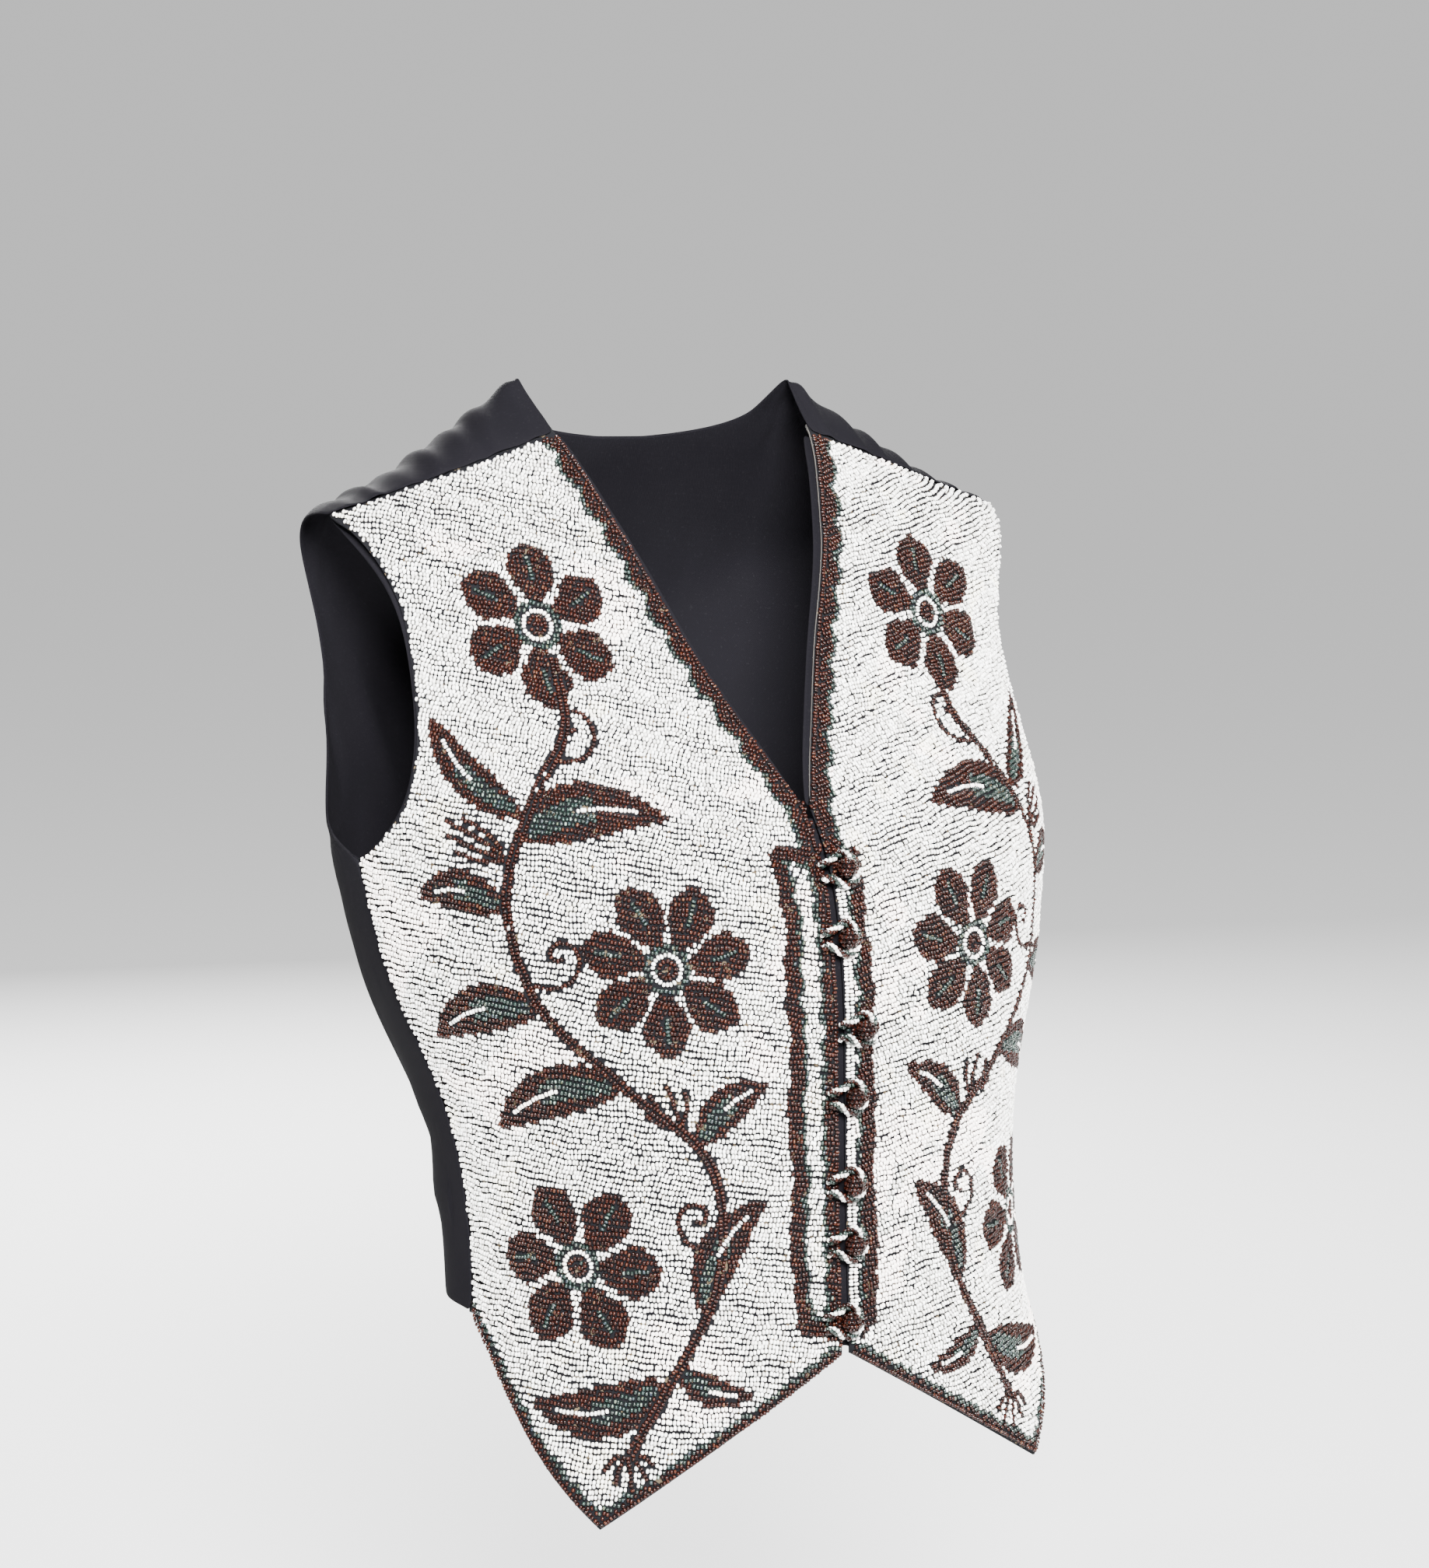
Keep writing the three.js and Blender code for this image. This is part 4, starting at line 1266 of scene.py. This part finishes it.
# %% Loops
ROPE_RADIUS, ROPE_CLEAR = 0.00195, 0.00035
LOOP_START, LOOP_MOUTH, LOOP_TURN = 0.0115, 0.0027, 132
ROPE_BEAD_RADIUS, ROPE_BEAD_LENGTH = 0.00108, 0.00165
ROPE_STRANDS = ("ivory", "brown", "green")
ROPE_TWIST, FIRST_STRIPE, ROPE_TILT = 0.0105, 0.0065, 0.05
ROPE_FULLNESS, ROPE_BEADS_APART, ROPE_CORE = 1.06, 1.04, 1.4
FLARE_REACH, FLARE_MOUTH = 1.05, 1.25


def at_closing(x, z, out):
    """A point by the closing, and the direction straight out of it there."""
    rise = figure(math.pi / 2, z + 0.001) - figure(math.pi / 2, z - 0.001)
    normal = unit(np.cross((1.0, 0.0, 0.0), rise))
    place = figure(angle_at(x, z), z) * (-1 if x < 0 else 1, 1, 1)
    return place + normal * out, normal


def loop_path(x, z):
    """The rope's middle line as closely spaced points, with the outward direction at each."""
    height = ROPE_RADIUS + ROPE_CLEAR
    below = ball_radius + ROPE_CLEAR - height
    reach = math.sqrt((ball_radius + ROPE_RADIUS + ROPE_CLEAR)**2 - below**2)
    path = [(-LOOP_START, LOOP_MOUTH), (-reach * FLARE_REACH, LOOP_MOUTH * FLARE_MOUTH)]
    for turn in np.radians(np.linspace(LOOP_TURN, -LOOP_TURN, 7)):
        path.append((reach * math.cos(turn), reach * math.sin(turn)))
    path += [(-reach * FLARE_REACH, -LOOP_MOUTH * FLARE_MOUTH), (-LOOP_START, -LOOP_MOUTH)]
    stations = [at_closing(x + across, z + up, height) for across, up in path]
    points = np.array([point for point, _ in stations])
    along = length_along(points)
    fine = np.linspace(0, along[-1], 240)
    line = np.stack([smooth(along, points[:, k], fine) for k in range(3)], axis=1)
    ways = np.array([normal for _, normal in stations])
    return line, unit(read_off(fine, along, ways))


def rope_strand(line, ways, start):
    """Beads of one strand that winds round the rope."""
    along = length_along(line)
    ahead = unit(np.gradient(line, axis=0))
    out = unit(ways - ahead * (ways * ahead).sum(axis=1, keepdims=True))
    aside = np.cross(ahead, out)
    wind = ROPE_RADIUS * ROPE_FULLNESS - ROPE_BEAD_RADIUS
    turn = (start + 2 * math.pi * along / ROPE_TWIST)[:, None]
    up = np.cos(turn) * out + np.sin(turn) * aside
    strand = line + wind * up
    reach = length_along(strand)
    stops = np.arange(ROPE_BEAD_LENGTH / 2, reach[-1], ROPE_BEAD_LENGTH * ROPE_BEADS_APART)
    return {"middle": read_off(stops, reach, strand),
            "up": unit(read_off(stops, reach, up)),
            "axis": unit(read_off(stops, reach, unit(np.gradient(strand, axis=0))))}


def core_rope(line, radius, sides=6):
    """A plain tube inside the rope, closed at both ends."""
    ahead = unit(np.gradient(line, axis=0))[::6]
    middle = line[::6]
    aside = unit(np.cross(ahead, (0.3, 0.2, 0.9)))
    up = np.cross(ahead, aside)
    turns = np.linspace(0, 2 * math.pi, sides, endpoint=False)
    rings = middle[:, None] + radius * (np.cos(turns)[None, :, None] * aside[:, None]
                                        + np.sin(turns)[None, :, None] * up[:, None])
    faces = [(a * sides + k, a * sides + (k + 1) % sides,
              (a + 1) * sides + (k + 1) % sides, (a + 1) * sides + k)
             for a in range(len(middle) - 1) for k in range(sides)]
    last = (len(middle) - 1) * sides
    faces += [tuple(range(sides))[::-1], tuple(range(last, last + sides))]
    mesh = bpy.data.meshes.new("core")
    mesh.from_pydata(rings.reshape(-1, 3), [], faces)
    turn_outward(mesh)
    return mesh


for k, (x, z) in enumerate(BUTTON_PLACES, 1):
    line, ways = loop_path(x, z)
    pieces = []
    for number, colour in enumerate(ROPE_STRANDS):
        turned = number / len(ROPE_STRANDS) - FIRST_STRIPE / ROPE_TWIST
        start = 2 * math.pi * turned + 0.6 * math.sin(2.3 * k)
        beads = rope_strand(line, ways, start)
        mesh = bead_mesh(f"strand_{k}_{number}", beads, WHOLE_BARREL,
                         ROPE_BEAD_RADIUS, ROPE_BEAD_LENGTH, ROPE_TILT)
        pieces.append((mesh, GLASS[colour]))
    pieces.append((core_rope(line, ROPE_RADIUS - ROPE_CORE * ROPE_BEAD_RADIUS), GROUND))
    rope = joined_piece(f"beaded_loop_{k}", pieces)
    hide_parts(f"loop_{k}")
print("rope length:", round(float(length_along(line)[-1]), 4))

# %% [markdown]
# ## Camera
# The camera stands where the photograph was taken from: a little to the wearer's right, a little
# above, with a long lens. A turn and a rise about the point it looks at are easier to adjust than
# three coordinates, so its place is worked out from them.

# %% Camera
CAMERA_TURN, CAMERA_RISE, CAMERA_AWAY = math.radians(-28.4), math.radians(6.33), 1.6128
LOOK_AT = Vector((0.03166, 0.0, -0.1925))
LENS, SENSOR = 85.6, 36.0
away = Vector((math.sin(CAMERA_TURN) * math.cos(CAMERA_RISE),
               -math.cos(CAMERA_TURN) * math.cos(CAMERA_RISE),
               math.sin(CAMERA_RISE)))
camera_data = bpy.data.cameras.new("camera")
camera_data.lens, camera_data.sensor_width, camera_data.sensor_fit = LENS, SENSOR, "HORIZONTAL"
camera = placed("camera", camera_data)
camera.location = LOOK_AT + away * CAMERA_AWAY
camera.rotation_euler = away.to_track_quat("Z", "Y").to_euler()
bpy.context.scene.camera = camera
print("camera at", [round(v, 3) for v in camera.location])

# %% [markdown]
# ## Floor and light
# Glass beads only look like glass when they have something to reflect. So besides the even light of
# a pale studio there are a large soft lamp in front, a smaller one from the side and a tiny one high
# up that draw bright points on the dark beads, and one behind that shows the form of the back.

# %% Floor and light
FLOOR_HEIGHT, FLOOR_RADIUS = -0.80, 40.0
MIDDLE = Vector((0.0, -0.04, -0.25))
STUDIO_GREY, FLOOR_GREY = 0.72, 0.50


def lamp(name, place, size, watts):
    data = bpy.data.lights.new(name, "AREA")
    data.shape, data.size, data.energy = "DISK", size, watts
    made = placed(name, data)
    made.location = place
    made.rotation_euler = (Vector(place) - MIDDLE).to_track_quat("Z", "Y").to_euler()


# The floor glows just enough that, far away, it is as bright as the air above it and no horizon shows.
floor_finish = Finish("pale studio floor", Roughness=1.0, Specular_IOR_Level=0.0)
floor_finish.set("Base Color", (FLOOR_GREY, FLOOR_GREY, FLOOR_GREY, 1))
floor_finish.set("Emission Color", (1, 1, 1, 1))
floor_finish.set("Emission Strength", STUDIO_GREY * (1 - FLOOR_GREY))
work = bmesh.new()
bmesh.ops.create_circle(work, cap_ends=True, segments=64, radius=FLOOR_RADIUS)
floor_mesh = bpy.data.meshes.new("floor")
work.to_mesh(floor_mesh)
work.free()
floor_mesh.materials.append(floor_finish.material)
floor = placed("floor", floor_mesh)
floor.location.z = FLOOR_HEIGHT

world = bpy.data.worlds.new("studio")
world.use_nodes = True
air = world.node_tree.nodes["Background"]
air.inputs["Color"].default_value = (STUDIO_GREY, STUDIO_GREY, STUDIO_GREY, 1)
bpy.context.scene.world = world
LAMPS = (
    # name, place, size, watts
    ("front", (-0.9, -2.2, 0.9), 0.8, 640),
    ("side", (1.9, -1.4, 0.5), 0.4, 130),
    ("glint", (-1.7, -0.9, 1.6), 0.15, 45),
    ("behind", (0.6, 2.4, 0.9), 1.4, 300),
)
for row in LAMPS:
    lamp(*row)
print("lamps:", [name for name, *_ in LAMPS])
